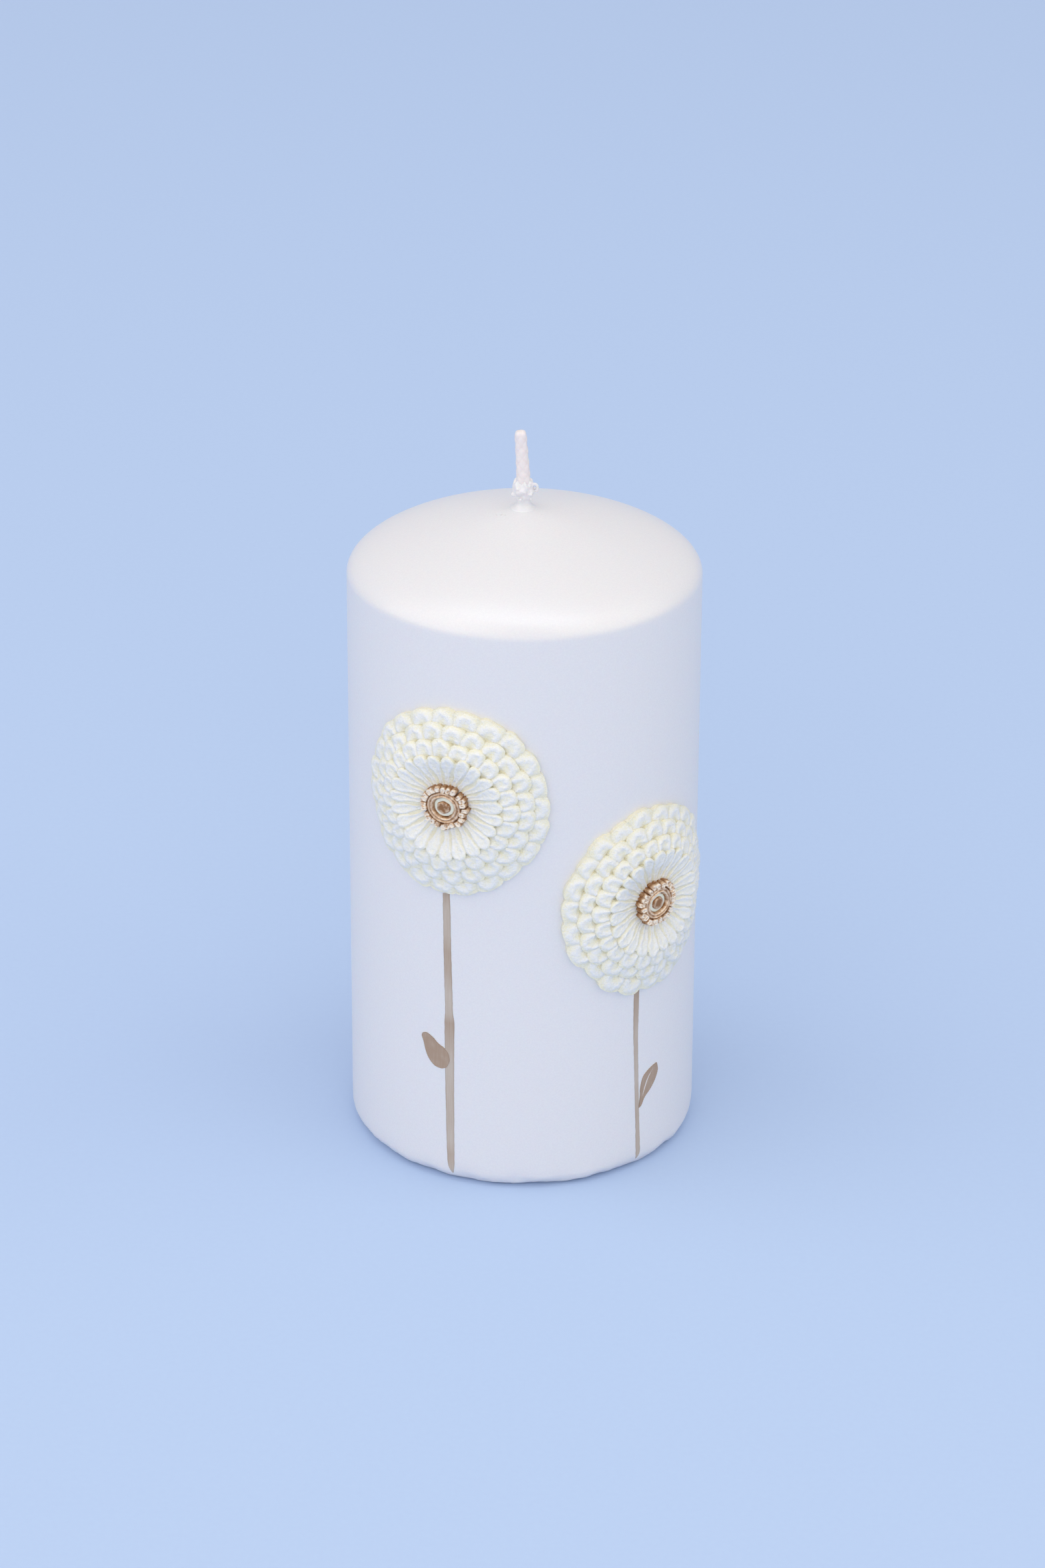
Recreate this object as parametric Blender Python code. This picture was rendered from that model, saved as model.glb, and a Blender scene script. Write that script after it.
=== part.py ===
"""Pillar candle with two relief zinnias, brushed stems and leaves, and a waxed wick.

The candle stands on Z = 0 with its wick along +Z and its decorated side towards -Y.
All sizes are in metres.
"""
import math
from collections import namedtuple

import bmesh
import bpy

MM = 0.001

# Gap left between pieces that touch on the real candle
CLEARANCE = 0.3 * MM

# Pillar
PILLAR_RADIUS = 34.0 * MM
PILLAR_HEIGHT = 130.0 * MM
SHOULDER_DROP = 13.5 * MM
SHOULDER_FULLNESS = 0.526
BASE_ROUNDING = 2.8 * MM
OVERDIP_THICKNESS = 1.5 * MM
OVERDIP_TURN_UNDER = 1.0 * MM

# Wick, its metal sustainer and the plug that closes the underside
WICK_RADIUS = 1.25 * MM
WICK_STANDS_UP = 15.6 * MM
WICK_LEAN = 0.65 * MM
WICK_SWELL = 0.12 * MM
COLLAR_HEIGHT = 4.8 * MM
COLLAR_WALL = 0.3 * MM
COLLAR_FLARE = 0.45 * MM
PLUG_RADIUS = 10.2 * MM
PLUG_THICKNESS = 2.2 * MM
SUSTAINER_SHEET = 0.4 * MM
SUSTAINER_NECK = 4.1 * MM
SUSTAINER_WALL = 0.7 * MM

# Zinnia relief: four rows of petals round a dished middle
FLOWER_RADIUS = 19.0 * MM
PETALS_PER_ROW = 23
ROW_BAND = 2.75 * MM
ROW_OVERLAP = 3.6 * MM
PETAL_THICKNESS = 0.6 * MM
PETAL_NOTCH = 1.0 * MM
PETAL_GROOVE = 0.3 * MM
DISH_DEPTH = 1.7 * MM
FLORET_COUNT = 24
FLORET_GAP = 0.35 * MM
CROWN_RADIUS = 4.65 * MM
CROWN_HEIGHT = 1.15 * MM
RING_RADIUS = 2.7 * MM
RING_WIRE = 0.5 * MM
DISC_THICKNESS = 0.4 * MM
DOT_RADIUS = 1.25 * MM
DOT_HEIGHT = 0.6 * MM

# Brushed paint
PAINT_THICKNESS = 0.25 * MM
PAINT_EDGE = 0.15 * MM
STEM_FOOT_LEVEL = 2.0 * MM

Bloom = namedtuple(
    "Bloom",
    "side bearing below_shoulder "
    "stem_width stem_sway stem_top_across stem_foot_across "
    "leaf_hand leaf_place leaf_direction leaf_length leaf_width leaf_fullness leaf_roundness",
)

# Bearings are degrees round the pillar from its front; across is towards the right
LEFT = Bloom(
    side="left",
    bearing=-23.9,
    below_shoulder=33.9 * MM,
    stem_width=1.75 * MM,
    stem_sway=0.15 * MM,
    stem_top_across=-0.9 * MM,
    stem_foot_across=0.1 * MM,
    leaf_hand=-1.0,
    leaf_place=0.37,
    leaf_direction=129.0,
    leaf_length=8.2 * MM,
    leaf_width=4.8 * MM,
    leaf_fullness=0.6,
    leaf_roundness=0.65,
)
RIGHT = Bloom(
    side="right",
    bearing=44.0,
    below_shoulder=57.5 * MM,
    stem_width=1.2 * MM,
    stem_sway=0.12 * MM,
    stem_top_across=-2.25 * MM,
    stem_foot_across=-1.25 * MM,
    leaf_hand=1.0,
    leaf_place=0.3,
    leaf_direction=61.0,
    leaf_length=9.3 * MM,
    leaf_width=4.1 * MM,
    leaf_fullness=0.9,
    leaf_roundness=0.9,
)

# How finely the round pieces are faceted
OVERDIP_FACETS = 60
CORE_FACETS = 48
PLUG_FACETS = 40
SUSTAINER_FACETS = 32
COLLAR_FACETS = 20
WICK_FACETS = 14
PAD_FACETS = 36
RING_FACETS = 36
RING_WIRE_FACETS = 8
DISC_FACETS = 24
DOT_FACETS = 20
COLUMNS_PER_PETAL = 3
COLUMNS_PER_FLORET = 3
STEM_STEPS = 18
LEAF_STEPS = 10
SHOULDER_SEARCH_STEPS = 240
SHOULDER_LAST_STEP = 0.6 * MM
SHARP_EDGE_ANGLE = math.radians(38.0)
ON_AXIS = 1e-7

# Fits worked out from the sizes above
BORE_RADIUS = WICK_RADIUS + CLEARANCE
SHOULDER_LEVEL = PILLAR_HEIGHT - SHOULDER_DROP
CORE_OFFSET = OVERDIP_THICKNESS + CLEARANCE
SUSTAINER_BASE = PLUG_THICKNESS + CLEARANCE
WICK_FOOT = SUSTAINER_BASE + SUSTAINER_SHEET + CLEARANCE
ROW_PITCH = PETAL_THICKNESS + CLEARANCE
OUTER_ROW_TOP = CLEARANCE + ROW_PITCH
OUTER, THIRD, SECOND, INNER = 0, 1, 2, 3


def clear_scene():
    for item in list(bpy.data.objects):
        bpy.data.objects.remove(item, do_unlink=True)


def make_material(name, colour, roughness, metallic=0.0):
    material = bpy.data.materials.new(name)
    material.use_nodes = True
    shader = material.node_tree.nodes["Principled BSDF"]
    shader.inputs["Base Color"].default_value = (*colour, 1.0)
    shader.inputs["Roughness"].default_value = roughness
    shader.inputs["Metallic"].default_value = metallic
    material.diffuse_color = (*colour, 1.0)
    material.roughness = roughness
    material.metallic = metallic
    return material


def add_solid(name, points, faces, material):
    mesh = bpy.data.meshes.new(name)
    mesh.from_pydata(points, [], faces)
    shape = bmesh.new()
    shape.from_mesh(mesh)
    bmesh.ops.recalc_face_normals(shape, faces=shape.faces)
    if shape.calc_volume(signed=True) < 0.0:
        bmesh.ops.reverse_faces(shape, faces=shape.faces)
    for face in shape.faces:
        face.smooth = True
    for edge in shape.edges:
        if len(edge.link_faces) == 2 and edge.calc_face_angle() > SHARP_EDGE_ANGLE:
            edge.smooth = False
    shape.to_mesh(mesh)
    shape.free()
    mesh.materials.append(material)
    solid = bpy.data.objects.new(name, mesh)
    bpy.context.scene.collection.objects.link(solid)
    return solid


def revolve(name, profile, segments, material):
    """Turn a closed (radius, height) outline about Z."""
    points = []
    rings = []
    for radius, height in profile:
        if radius < ON_AXIS:
            rings.append([len(points)] * segments)
            points.append((0.0, 0.0, height))
            continue
        ring = []
        for step in range(segments):
            angle = 2.0 * math.pi * step / segments
            ring.append(len(points))
            points.append((radius * math.cos(angle), radius * math.sin(angle), height))
        rings.append(ring)
    faces = []
    for index, ring in enumerate(rings):
        following = rings[(index + 1) % len(rings)]
        if ring[0] == ring[1] and following[0] == following[1]:
            continue
        for step in range(segments):
            after = (step + 1) % segments
            corners = [ring[step], ring[after], following[after], following[step]]
            face = []
            for corner in corners:
                if corner not in face:
                    face.append(corner)
            faces.append(face)
    return add_solid(name, points, faces, material)


def arc(centre_radius, centre_height, radius, start, end, steps):
    outline = []
    for step in range(steps + 1):
        angle = math.radians(start + (end - start) * step / steps)
        outline.append((centre_radius + radius * math.cos(angle), centre_height + radius * math.sin(angle)))
    return outline


def shoulder_curve(offset, steps):
    """The domed shoulder from the straight side to the wick, moved inwards by offset."""
    start = (PILLAR_RADIUS, SHOULDER_LEVEL)
    lift = (PILLAR_RADIUS, SHOULDER_LEVEL + SHOULDER_FULLNESS * SHOULDER_DROP)
    pull = (0.02 * PILLAR_RADIUS, PILLAR_HEIGHT)
    end = (0.0, PILLAR_HEIGHT)
    curve = []
    for step in range(steps + 1):
        t = step / steps
        a = (1.0 - t) ** 3
        b = 3.0 * (1.0 - t) ** 2 * t
        c = 3.0 * (1.0 - t) * t ** 2
        d = t ** 3
        radius = a * start[0] + b * lift[0] + c * pull[0] + d * end[0]
        height = a * start[1] + b * lift[1] + c * pull[1] + d * end[1]
        da = (1.0 - t) ** 2
        db = 2.0 * (1.0 - t) * t
        dc = t ** 2
        run = da * (lift[0] - start[0]) + db * (pull[0] - lift[0]) + dc * (end[0] - pull[0])
        rise = da * (lift[1] - start[1]) + db * (pull[1] - lift[1]) + dc * (end[1] - pull[1])
        length = math.hypot(run, rise)
        curve.append((radius - offset * rise / length, height + offset * run / length))
    return curve


def shoulder_height(radius, offset):
    """Height of the shoulder above a circle of this radius."""
    fine = shoulder_curve(offset, SHOULDER_SEARCH_STEPS)
    for near, far in zip(fine, fine[1:]):
        if far[0] <= radius <= near[0]:
            share = (near[0] - radius) / (near[0] - far[0])
            return near[1] + share * (far[1] - near[1])
    return fine[-1][1]


def shoulder_outline(offset, stop_radius, steps):
    outline = []
    for point in shoulder_curve(offset, steps):
        if point[0] > stop_radius + SHOULDER_LAST_STEP:
            outline.append(point)
    outline.append((stop_radius, shoulder_height(stop_radius, offset)))
    return outline


def build_overdip(material):
    foot = PILLAR_RADIUS - BASE_ROUNDING
    inner_rounding = BASE_ROUNDING - OVERDIP_THICKNESS
    profile = arc(foot, BASE_ROUNDING, BASE_ROUNDING, -90.0, 0.0, 5)
    profile += shoulder_outline(0.0, BORE_RADIUS, 11)
    profile += reversed(shoulder_outline(OVERDIP_THICKNESS, BORE_RADIUS, 9))
    profile += arc(foot, BASE_ROUNDING, inner_rounding, 0.0, -90.0, 3)
    profile.append((foot - OVERDIP_TURN_UNDER, OVERDIP_THICKNESS))
    profile.append((foot - OVERDIP_TURN_UNDER, 0.0))
    return revolve("pearl_wax_overdip", profile, OVERDIP_FACETS, material)


def build_core(material):
    foot = PILLAR_RADIUS - BASE_ROUNDING
    step_in = foot - OVERDIP_TURN_UNDER - CLEARANCE
    inner_rounding = BASE_ROUNDING - CORE_OFFSET
    recess = PLUG_RADIUS + CLEARANCE
    neck = BORE_RADIUS + SUSTAINER_WALL + CLEARANCE
    neck_top = SUSTAINER_BASE + SUSTAINER_SHEET + SUSTAINER_NECK + CLEARANCE
    ledge = SUSTAINER_BASE + SUSTAINER_SHEET + CLEARANCE
    profile = [(recess, 0.0), (step_in, 0.0), (step_in, CORE_OFFSET)]
    profile += arc(foot, BASE_ROUNDING, inner_rounding, -90.0, 0.0, 3)
    profile += shoulder_outline(CORE_OFFSET, BORE_RADIUS, 8)
    profile.append((BORE_RADIUS, neck_top))
    profile.append((neck, neck_top))
    profile.append((neck, ledge))
    profile.append((recess, ledge))
    return revolve("wax_core", profile, CORE_FACETS, material)


def build_plug(material):
    profile = [(0.0, 0.0), (PLUG_RADIUS, 0.0), (PLUG_RADIUS, PLUG_THICKNESS), (0.0, PLUG_THICKNESS)]
    return revolve("base_plug", profile, PLUG_FACETS, material)


def build_sustainer(material):
    base = SUSTAINER_BASE
    sheet = base + SUSTAINER_SHEET
    top = sheet + SUSTAINER_NECK
    neck = BORE_RADIUS + SUSTAINER_WALL
    profile = [(0.0, base), (PLUG_RADIUS, base), (PLUG_RADIUS, sheet), (neck, sheet)]
    profile += [(neck, top), (BORE_RADIUS, top), (BORE_RADIUS, sheet), (0.0, sheet)]
    return revolve("wick_sustainer", profile, SUSTAINER_FACETS, material)


def build_wick(material):
    collar_top = PILLAR_HEIGHT + COLLAR_HEIGHT
    tip = PILLAR_HEIGHT + WICK_STANDS_UP
    levels = [(WICK_FOOT, 1.0), (0.5 * PILLAR_HEIGHT, 1.0), (PILLAR_HEIGHT, 1.0), (collar_top, 1.0)]
    free = tip - collar_top
    swollen = 1.0 + WICK_SWELL / WICK_RADIUS
    for share in (0.12, 0.3, 0.5, 0.7, 0.86):
        levels.append((collar_top + share * free, swollen))
    levels.append((collar_top + 0.95 * free, 0.9))
    levels.append((tip, 0.55))
    points = []
    for height, share in levels:
        rise = max(0.0, (height - collar_top) / free)
        shift = -WICK_LEAN * rise ** 1.3
        for step in range(WICK_FACETS):
            angle = 2.0 * math.pi * step / WICK_FACETS
            x = shift + WICK_RADIUS * share * math.cos(angle)
            y = WICK_RADIUS * share * math.sin(angle)
            points.append((x, y, height))
    faces = [list(range(WICK_FACETS))]
    for row in range(len(levels) - 1):
        for step in range(WICK_FACETS):
            after = (step + 1) % WICK_FACETS
            low = row * WICK_FACETS
            high = low + WICK_FACETS
            faces.append([low + step, low + after, high + after, high + step])
    last = (len(levels) - 1) * WICK_FACETS
    faces.append([last + step for step in range(WICK_FACETS)])
    return add_solid("wick", points, faces, material)


def build_collar(material):
    base = PILLAR_HEIGHT + CLEARANCE
    inner = BORE_RADIUS
    neck = inner + COLLAR_WALL
    lip = neck + COLLAR_FLARE
    top = base + COLLAR_HEIGHT - 2.0 * CLEARANCE
    profile = [(inner, base), (neck, base), (neck, base + 0.3 * COLLAR_HEIGHT)]
    profile += [(lip, base + 0.45 * COLLAR_HEIGHT), (lip, base + 0.7 * COLLAR_HEIGHT)]
    profile += [(inner + 0.6 * COLLAR_WALL, top), (inner, top)]
    return revolve("wick_wax_collar", profile, COLLAR_FACETS, material)


def wrap(bearing, level, across, up, out):
    """Lay a point drawn on a flat sheet onto the pillar's side."""
    angle = math.radians(bearing) + across / PILLAR_RADIUS
    radius = PILLAR_RADIUS + out
    return (radius * math.sin(angle), -radius * math.cos(angle), level + up)


def ease(value):
    value = min(1.0, max(0.0, value))
    return value * value * (3.0 - 2.0 * value)


def row_tip(row):
    """Reach of a row's petal tips; each row stops one band short of the row below it."""
    return FLOWER_RADIUS - row * ROW_BAND


def row_root(row):
    """Reach of a row's inner edge, hidden under the row above; the inner row runs to the middle."""
    if row == INNER:
        return DOT_RADIUS + CLEARANCE
    return row_tip(row + 1) - ROW_OVERLAP


def dish(reach):
    """How far the relief dips towards the flower's middle."""
    start = CROWN_RADIUS - 2.0 * CLEARANCE
    end = row_tip(INNER) - CLEARANCE
    return -DISH_DEPTH * (1.0 - ease((reach - start) / (end - start)))


def row_low(row, reach):
    """Underside of a row above the pillar's side."""
    if row == OUTER:
        return CLEARANCE
    return OUTER_ROW_TOP + row * ROW_PITCH - PETAL_THICKNESS + dish(reach)


def row_high(row, reach):
    """Upper side of a row before its grooves are cut."""
    if row == OUTER:
        return OUTER_ROW_TOP
    return row_low(row, reach) + PETAL_THICKNESS


def crown_seat():
    """Level that the crown, ring and disc rest on, clear of the inner row."""
    return row_high(INNER, CROWN_RADIUS) + CLEARANCE


def polar_ring(name, bearing, level, columns, rows, material):
    """Close a ring of cross sections: rows(column) gives (reach, out) all round one section."""
    points = []
    size = None
    for column in range(columns):
        angle = 2.0 * math.pi * column / columns
        section = rows(column)
        size = len(section)
        for reach, out in section:
            across = reach * math.cos(angle)
            up = reach * math.sin(angle)
            points.append(wrap(bearing, level, across, up, out))
    faces = []
    for column in range(columns):
        here = column * size
        there = ((column + 1) % columns) * size
        for row in range(size):
            after = (row + 1) % size
            faces.append([here + row, there + row, there + after, here + after])
    return add_solid(name, points, faces, material)


def build_petal_row(bloom, level, label, row, material):
    """One row of overlapping petals with a groove and a notch between neighbours."""
    columns = PETALS_PER_ROW * COLUMNS_PER_PETAL
    tip = row_tip(row)
    root = row_root(row)
    stagger = row % 2
    over = [(0.0, 0.3), (0.5, 0.8), (0.86, 1.0), (1.0, 1.0)]
    under = (1.0, 0.5, 0.0)
    if row == INNER:
        over.insert(1, ((CROWN_RADIUS - root) / (tip - root), 0.5))
        under = (1.0, 0.75, 0.5, 0.25, 0.0)

    def section(column):
        between = 1.0 if (column + stagger) % COLUMNS_PER_PETAL == 0 else 0.0
        reach = tip - between * PETAL_NOTCH
        groove = between * PETAL_GROOVE
        outline = []
        for share, cut in over:
            place = root + share * (reach - root)
            tip_round = 0.35 * PETAL_THICKNESS if share == 1.0 else 0.0
            outline.append((place, row_high(row, place) - cut * groove - tip_round))
        for share in under:
            place = root + share * (reach - root)
            outline.append((place, row_low(row, place)))
        return outline

    return polar_ring(bloom.side + "_petals_" + label, bloom.bearing, level, columns, section, material)


def build_round_pad(name, bearing, level, rings, columns, material):
    """A closed round piece from (reach, out) rings that start and end on its own axis."""
    points = []
    rows = []
    for reach, out in rings:
        if reach < ON_AXIS:
            rows.append([len(points)] * columns)
            points.append(wrap(bearing, level, 0.0, 0.0, out))
            continue
        row = []
        for column in range(columns):
            angle = 2.0 * math.pi * column / columns
            row.append(len(points))
            points.append(wrap(bearing, level, reach * math.cos(angle), reach * math.sin(angle), out))
        rows.append(row)
    faces = []
    for row, following in zip(rows, rows[1:]):
        for column in range(columns):
            after = (column + 1) % columns
            face = []
            for corner in (row[column], row[after], following[after], following[column]):
                if corner not in face:
                    face.append(corner)
            faces.append(face)
    return add_solid(name, points, faces, material)


def build_adhesive_pad(bloom, level, material):
    """The wax pad that sticks the casting to the pillar, inside the outer row's root."""
    reach = row_root(OUTER) - CLEARANCE
    low = CLEARANCE
    lowest_above = min(row_low(row, row_root(row)) for row in (THIRD, SECOND, INNER))
    high = lowest_above - CLEARANCE
    rings = [(0.0, low), (0.35 * reach, low), (0.68 * reach, low), (reach, low)]
    rings += [(reach, high), (0.68 * reach, high), (0.35 * reach, high), (0.0, high)]
    return build_round_pad(bloom.side + "_adhesive_pad", bloom.bearing, level, rings, PAD_FACETS, material)


def build_crown(bloom, level, material):
    """The ring of small florets round the gold ring."""
    columns = FLORET_COUNT * COLUMNS_PER_FLORET
    inner = RING_RADIUS + RING_WIRE + 2.0 * CLEARANCE
    low = crown_seat()
    high = low + CROWN_HEIGHT

    def section(column):
        between = 1.0 if column % COLUMNS_PER_FLORET == 0 else 0.0
        outer = CROWN_RADIUS - between * FLORET_GAP
        top = high - between * FLORET_GAP
        middle = 0.5 * (inner + outer)
        return [
            (inner, low),
            (inner, low + 0.6 * CROWN_HEIGHT),
            (middle, top),
            (outer, low + 0.55 * CROWN_HEIGHT),
            (outer, low),
        ]

    return polar_ring(bloom.side + "_floret_crown", bloom.bearing, level, columns, section, material)


def build_ring(bloom, level, material):
    centre = crown_seat() + RING_WIRE

    def section(column):
        outline = []
        for step in range(RING_WIRE_FACETS):
            angle = -2.0 * math.pi * step / RING_WIRE_FACETS
            outline.append((RING_RADIUS + RING_WIRE * math.cos(angle), centre + RING_WIRE * math.sin(angle)))
        return outline

    return polar_ring(bloom.side + "_gold_ring", bloom.bearing, level, RING_FACETS, section, material)


def build_disc(bloom, level, material):
    reach = RING_RADIUS - RING_WIRE - CLEARANCE
    low = crown_seat()
    high = low + DISC_THICKNESS
    edge_height = low + 0.75 * DISC_THICKNESS
    rings = [(0.0, low), (reach, low), (reach, edge_height), (0.9 * reach, high), (0.0, high)]
    return build_round_pad(bloom.side + "_centre_disc", bloom.bearing, level, rings, DISC_FACETS, material)


def build_dot(bloom, level, material):
    low = crown_seat() + DISC_THICKNESS + CLEARANCE
    rings = [(0.0, low), (DOT_RADIUS, low)]
    for share, rise in ((1.0, 0.35), (0.8, 0.7), (0.45, 0.92), (0.0, 1.0)):
        rings.append((share * DOT_RADIUS, low + rise * DOT_HEIGHT))
    return build_round_pad(bloom.side + "_centre_dot", bloom.bearing, level, rings, DOT_FACETS, material)


def build_flower(bloom, petals, ivory, gold, adhesive):
    level = SHOULDER_LEVEL - bloom.below_shoulder
    build_adhesive_pad(bloom, level, adhesive)
    build_petal_row(bloom, level, "outer_row", OUTER, petals)
    build_petal_row(bloom, level, "third_row", THIRD, petals)
    build_petal_row(bloom, level, "second_row", SECOND, petals)
    build_petal_row(bloom, level, "inner_row", INNER, petals)
    build_crown(bloom, level, gold)
    build_ring(bloom, level, gold)
    build_disc(bloom, level, ivory)
    build_dot(bloom, level, gold)


def stem_top(bloom):
    """The stem ends just below the flower's lower edge."""
    edge = math.sqrt(FLOWER_RADIUS ** 2 - bloom.stem_top_across ** 2)
    return SHOULDER_LEVEL - bloom.below_shoulder - edge - CLEARANCE


def stem_middle(bloom, share):
    """Sideways place of the stem; share runs from 0 at the foot to 1 at the flower."""
    drift = bloom.stem_foot_across + (bloom.stem_top_across - bloom.stem_foot_across) * share
    return drift + bloom.stem_sway * math.sin(3.0 * math.pi * share) * (1.0 - share)


def stem_half_width(bloom, share):
    swell = 1.0 + 0.12 * math.sin(2.0 * math.pi * (share - 0.3))
    pointed_foot = min(1.0, 0.16 + share / 0.035)
    return 0.5 * bloom.stem_width * swell * pointed_foot


def brushed_section(half_width):
    """Cross section of a brushed stroke: (sideways, out) points round it."""
    low = CLEARANCE
    high = CLEARANCE + PAINT_THICKNESS
    edge = low + PAINT_EDGE
    return [(-half_width, low), (half_width, low), (half_width, edge), (0.0, high), (-half_width, edge)]


def add_stroke(name, sections, material):
    """Close a stroke from its five-sided sections."""
    size = 5
    points = []
    for section in sections:
        points += section
    faces = [list(range(size))]
    for row in range(len(sections) - 1):
        here = row * size
        there = here + size
        for side in range(size):
            after = (side + 1) % size
            faces.append([here + side, here + after, there + after, there + side])
    last = len(points) - size
    faces.append(list(range(last, last + size)))
    return add_solid(name, points, faces, material)


def build_stem(bloom, material):
    top = stem_top(bloom)
    sections = []
    for step in range(STEM_STEPS + 1):
        share = (step / STEM_STEPS) ** 1.35
        height = STEM_FOOT_LEVEL + share * (top - STEM_FOOT_LEVEL)
        middle = stem_middle(bloom, share)
        section = []
        for across, out in brushed_section(stem_half_width(bloom, share)):
            section.append(wrap(bloom.bearing, 0.0, middle + across, height, out))
        sections.append(section)
    return add_stroke(bloom.side + "_stem", sections, material)


def leaf_half_width(bloom, share):
    return 0.5 * bloom.leaf_width * math.sin(math.pi * share ** bloom.leaf_fullness) ** bloom.leaf_roundness


def build_leaf(bloom, material):
    """A brushed leaf that starts beside its stem and runs out and up from it."""
    height = STEM_FOOT_LEVEL + bloom.leaf_place * (stem_top(bloom) - STEM_FOOT_LEVEL)
    turn = math.radians(bloom.leaf_direction)
    outline = []
    for step in range(LEAF_STEPS + 1):
        share = 0.02 + 0.96 * step / LEAF_STEPS
        section = []
        for across, out in brushed_section(leaf_half_width(bloom, share)):
            u = share * bloom.leaf_length * math.cos(turn) - across * math.sin(turn)
            v = share * bloom.leaf_length * math.sin(turn) + across * math.cos(turn)
            section.append((u, v, out))
        outline.append(section)
    nearest = min(bloom.leaf_hand * u for section in outline for u, v, out in section)
    stem_edge = stem_middle(bloom, bloom.leaf_place) + bloom.leaf_hand * 0.55 * bloom.stem_width
    root = stem_edge + bloom.leaf_hand * (CLEARANCE - nearest)
    sections = []
    for section in outline:
        sections.append([wrap(bloom.bearing, height, root + u, v, out) for u, v, out in section])
    return add_stroke(bloom.side + "_leaf", sections, material)


def main():
    clear_scene()
    core_wax = make_material("core_wax", (0.86, 0.84, 0.80), 0.55)
    pearl_wax = make_material("pearl_wax", (0.84, 0.83, 0.87), 0.32)
    petal_wax = make_material("petal_wax", (0.88, 0.88, 0.82), 0.38)
    ivory_wax = make_material("ivory_wax", (0.86, 0.83, 0.74), 0.4)
    gold_paint = make_material("gold_paint", (0.50, 0.30, 0.15), 0.3, 0.9)
    stem_paint = make_material("stem_paint", (0.36, 0.28, 0.22), 0.5)
    adhesive_wax = make_material("adhesive_wax", (0.80, 0.76, 0.62), 0.5)
    waxed_cotton = make_material("waxed_cotton", (0.78, 0.73, 0.73), 0.6)
    tinplate = make_material("tinplate", (0.62, 0.62, 0.64), 0.3, 1.0)
    build_core(core_wax)
    build_overdip(pearl_wax)
    build_plug(core_wax)
    build_sustainer(tinplate)
    build_wick(waxed_cotton)
    build_collar(pearl_wax)
    for bloom in (LEFT, RIGHT):
        build_flower(bloom, petal_wax, ivory_wax, gold_paint, adhesive_wax)
        build_stem(bloom, stem_paint)
        build_leaf(bloom, stem_paint)


main()
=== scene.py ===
"""Dipped pillar candle with two cast zinnias, brushed stems and leaves, and a waxed wick.

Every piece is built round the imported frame: metres, +Z up, the decorated side towards -Y.
"""

import math
from collections import namedtuple

import bmesh
import bpy
import numpy as np
from mathutils import Euler, Matrix, Vector, noise
from mathutils.bvhtree import BVHTree


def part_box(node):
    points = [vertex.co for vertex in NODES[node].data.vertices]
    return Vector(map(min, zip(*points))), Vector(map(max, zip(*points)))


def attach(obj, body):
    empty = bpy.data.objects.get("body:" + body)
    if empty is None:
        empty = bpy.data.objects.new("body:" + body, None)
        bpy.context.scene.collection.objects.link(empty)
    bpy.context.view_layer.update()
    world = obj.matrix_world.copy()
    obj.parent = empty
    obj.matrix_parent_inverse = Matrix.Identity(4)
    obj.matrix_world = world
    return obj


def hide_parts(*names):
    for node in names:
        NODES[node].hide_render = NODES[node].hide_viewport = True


bl_info = {
    "name": "Relief flower pillar candle",
    "version": (1, 0, 0),
    "blender": (4, 5, 0),
    "location": "View3D > Sidebar > Candle",
    "description": "Builds the visible pieces of a dipped pillar candle with two cast flowers",
    "category": "Add Mesh",
}

MM = 0.001
FULL_TURN = 2.0 * math.pi

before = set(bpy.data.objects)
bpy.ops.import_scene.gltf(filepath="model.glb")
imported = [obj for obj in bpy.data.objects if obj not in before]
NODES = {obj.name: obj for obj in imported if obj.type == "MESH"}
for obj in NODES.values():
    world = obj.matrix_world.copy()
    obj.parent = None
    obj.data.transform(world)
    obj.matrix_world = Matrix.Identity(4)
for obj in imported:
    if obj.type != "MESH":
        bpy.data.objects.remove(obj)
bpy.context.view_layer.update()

# Sizes read from the frame
PILLAR_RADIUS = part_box("pearl_wax_overdip")[1].x
SEAT_GAP = 0.3 * MM
PILLAR_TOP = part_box("wick_wax_collar")[0].z - SEAT_GAP
WICK_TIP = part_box("wick")[1].z
WICK_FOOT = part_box("wick")[0].z
COLLAR_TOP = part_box("wick_wax_collar")[1].z

# The pillar's outline, as it is in the frame
SHOULDER_DROP = 13.5 * MM
SHOULDER_FULLNESS = 0.526
SHOULDER_TOP_REACH = 0.02
SHOULDER_LEVEL = PILLAR_TOP - SHOULDER_DROP
BASE_ROUNDING = 2.8 * MM
SKIN_THICKNESS = 1.5 * MM
SKIN_TURN_UNDER = 1.0 * MM
BORE_RADIUS = 1.55 * MM
WICK_OFFSET = -0.28 * MM

SIDES = ("left", "right")
ROWS = ("outer_row", "third_row", "second_row", "inner_row")
RAISED = "raised"

Relief = namedtuple(
    "Relief",
    "root tip notch neck head waist_from waist_to low valley top climb rim cup undercut "
    "round_root along across",
)
Stroke = namedtuple("Stroke", "path loads")
LeafShape = namedtuple("LeafShape", "near_side far_side slit")


def linear(code):
    """An sRGB hex colour as the linear values that Blender's sockets hold."""
    values = []
    for start in (1, 3, 5):
        share = int(code[start:start + 2], 16) / 255.0
        values.append(share / 12.92 if share <= 0.04045 else ((share + 0.055) / 1.055) ** 2.4)
    return tuple(values)


def ease_between(start, end, value):
    """0 up to start and 1 past end, with a soft climb between them."""
    share = min(1.0, max(0.0, (value - start) / (end - start)))
    return share * share * (3.0 - 2.0 * share)


def mix(start, end, share):
    return start + (end - start) * share


# ---------------------------------------------------------------- settings


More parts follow.
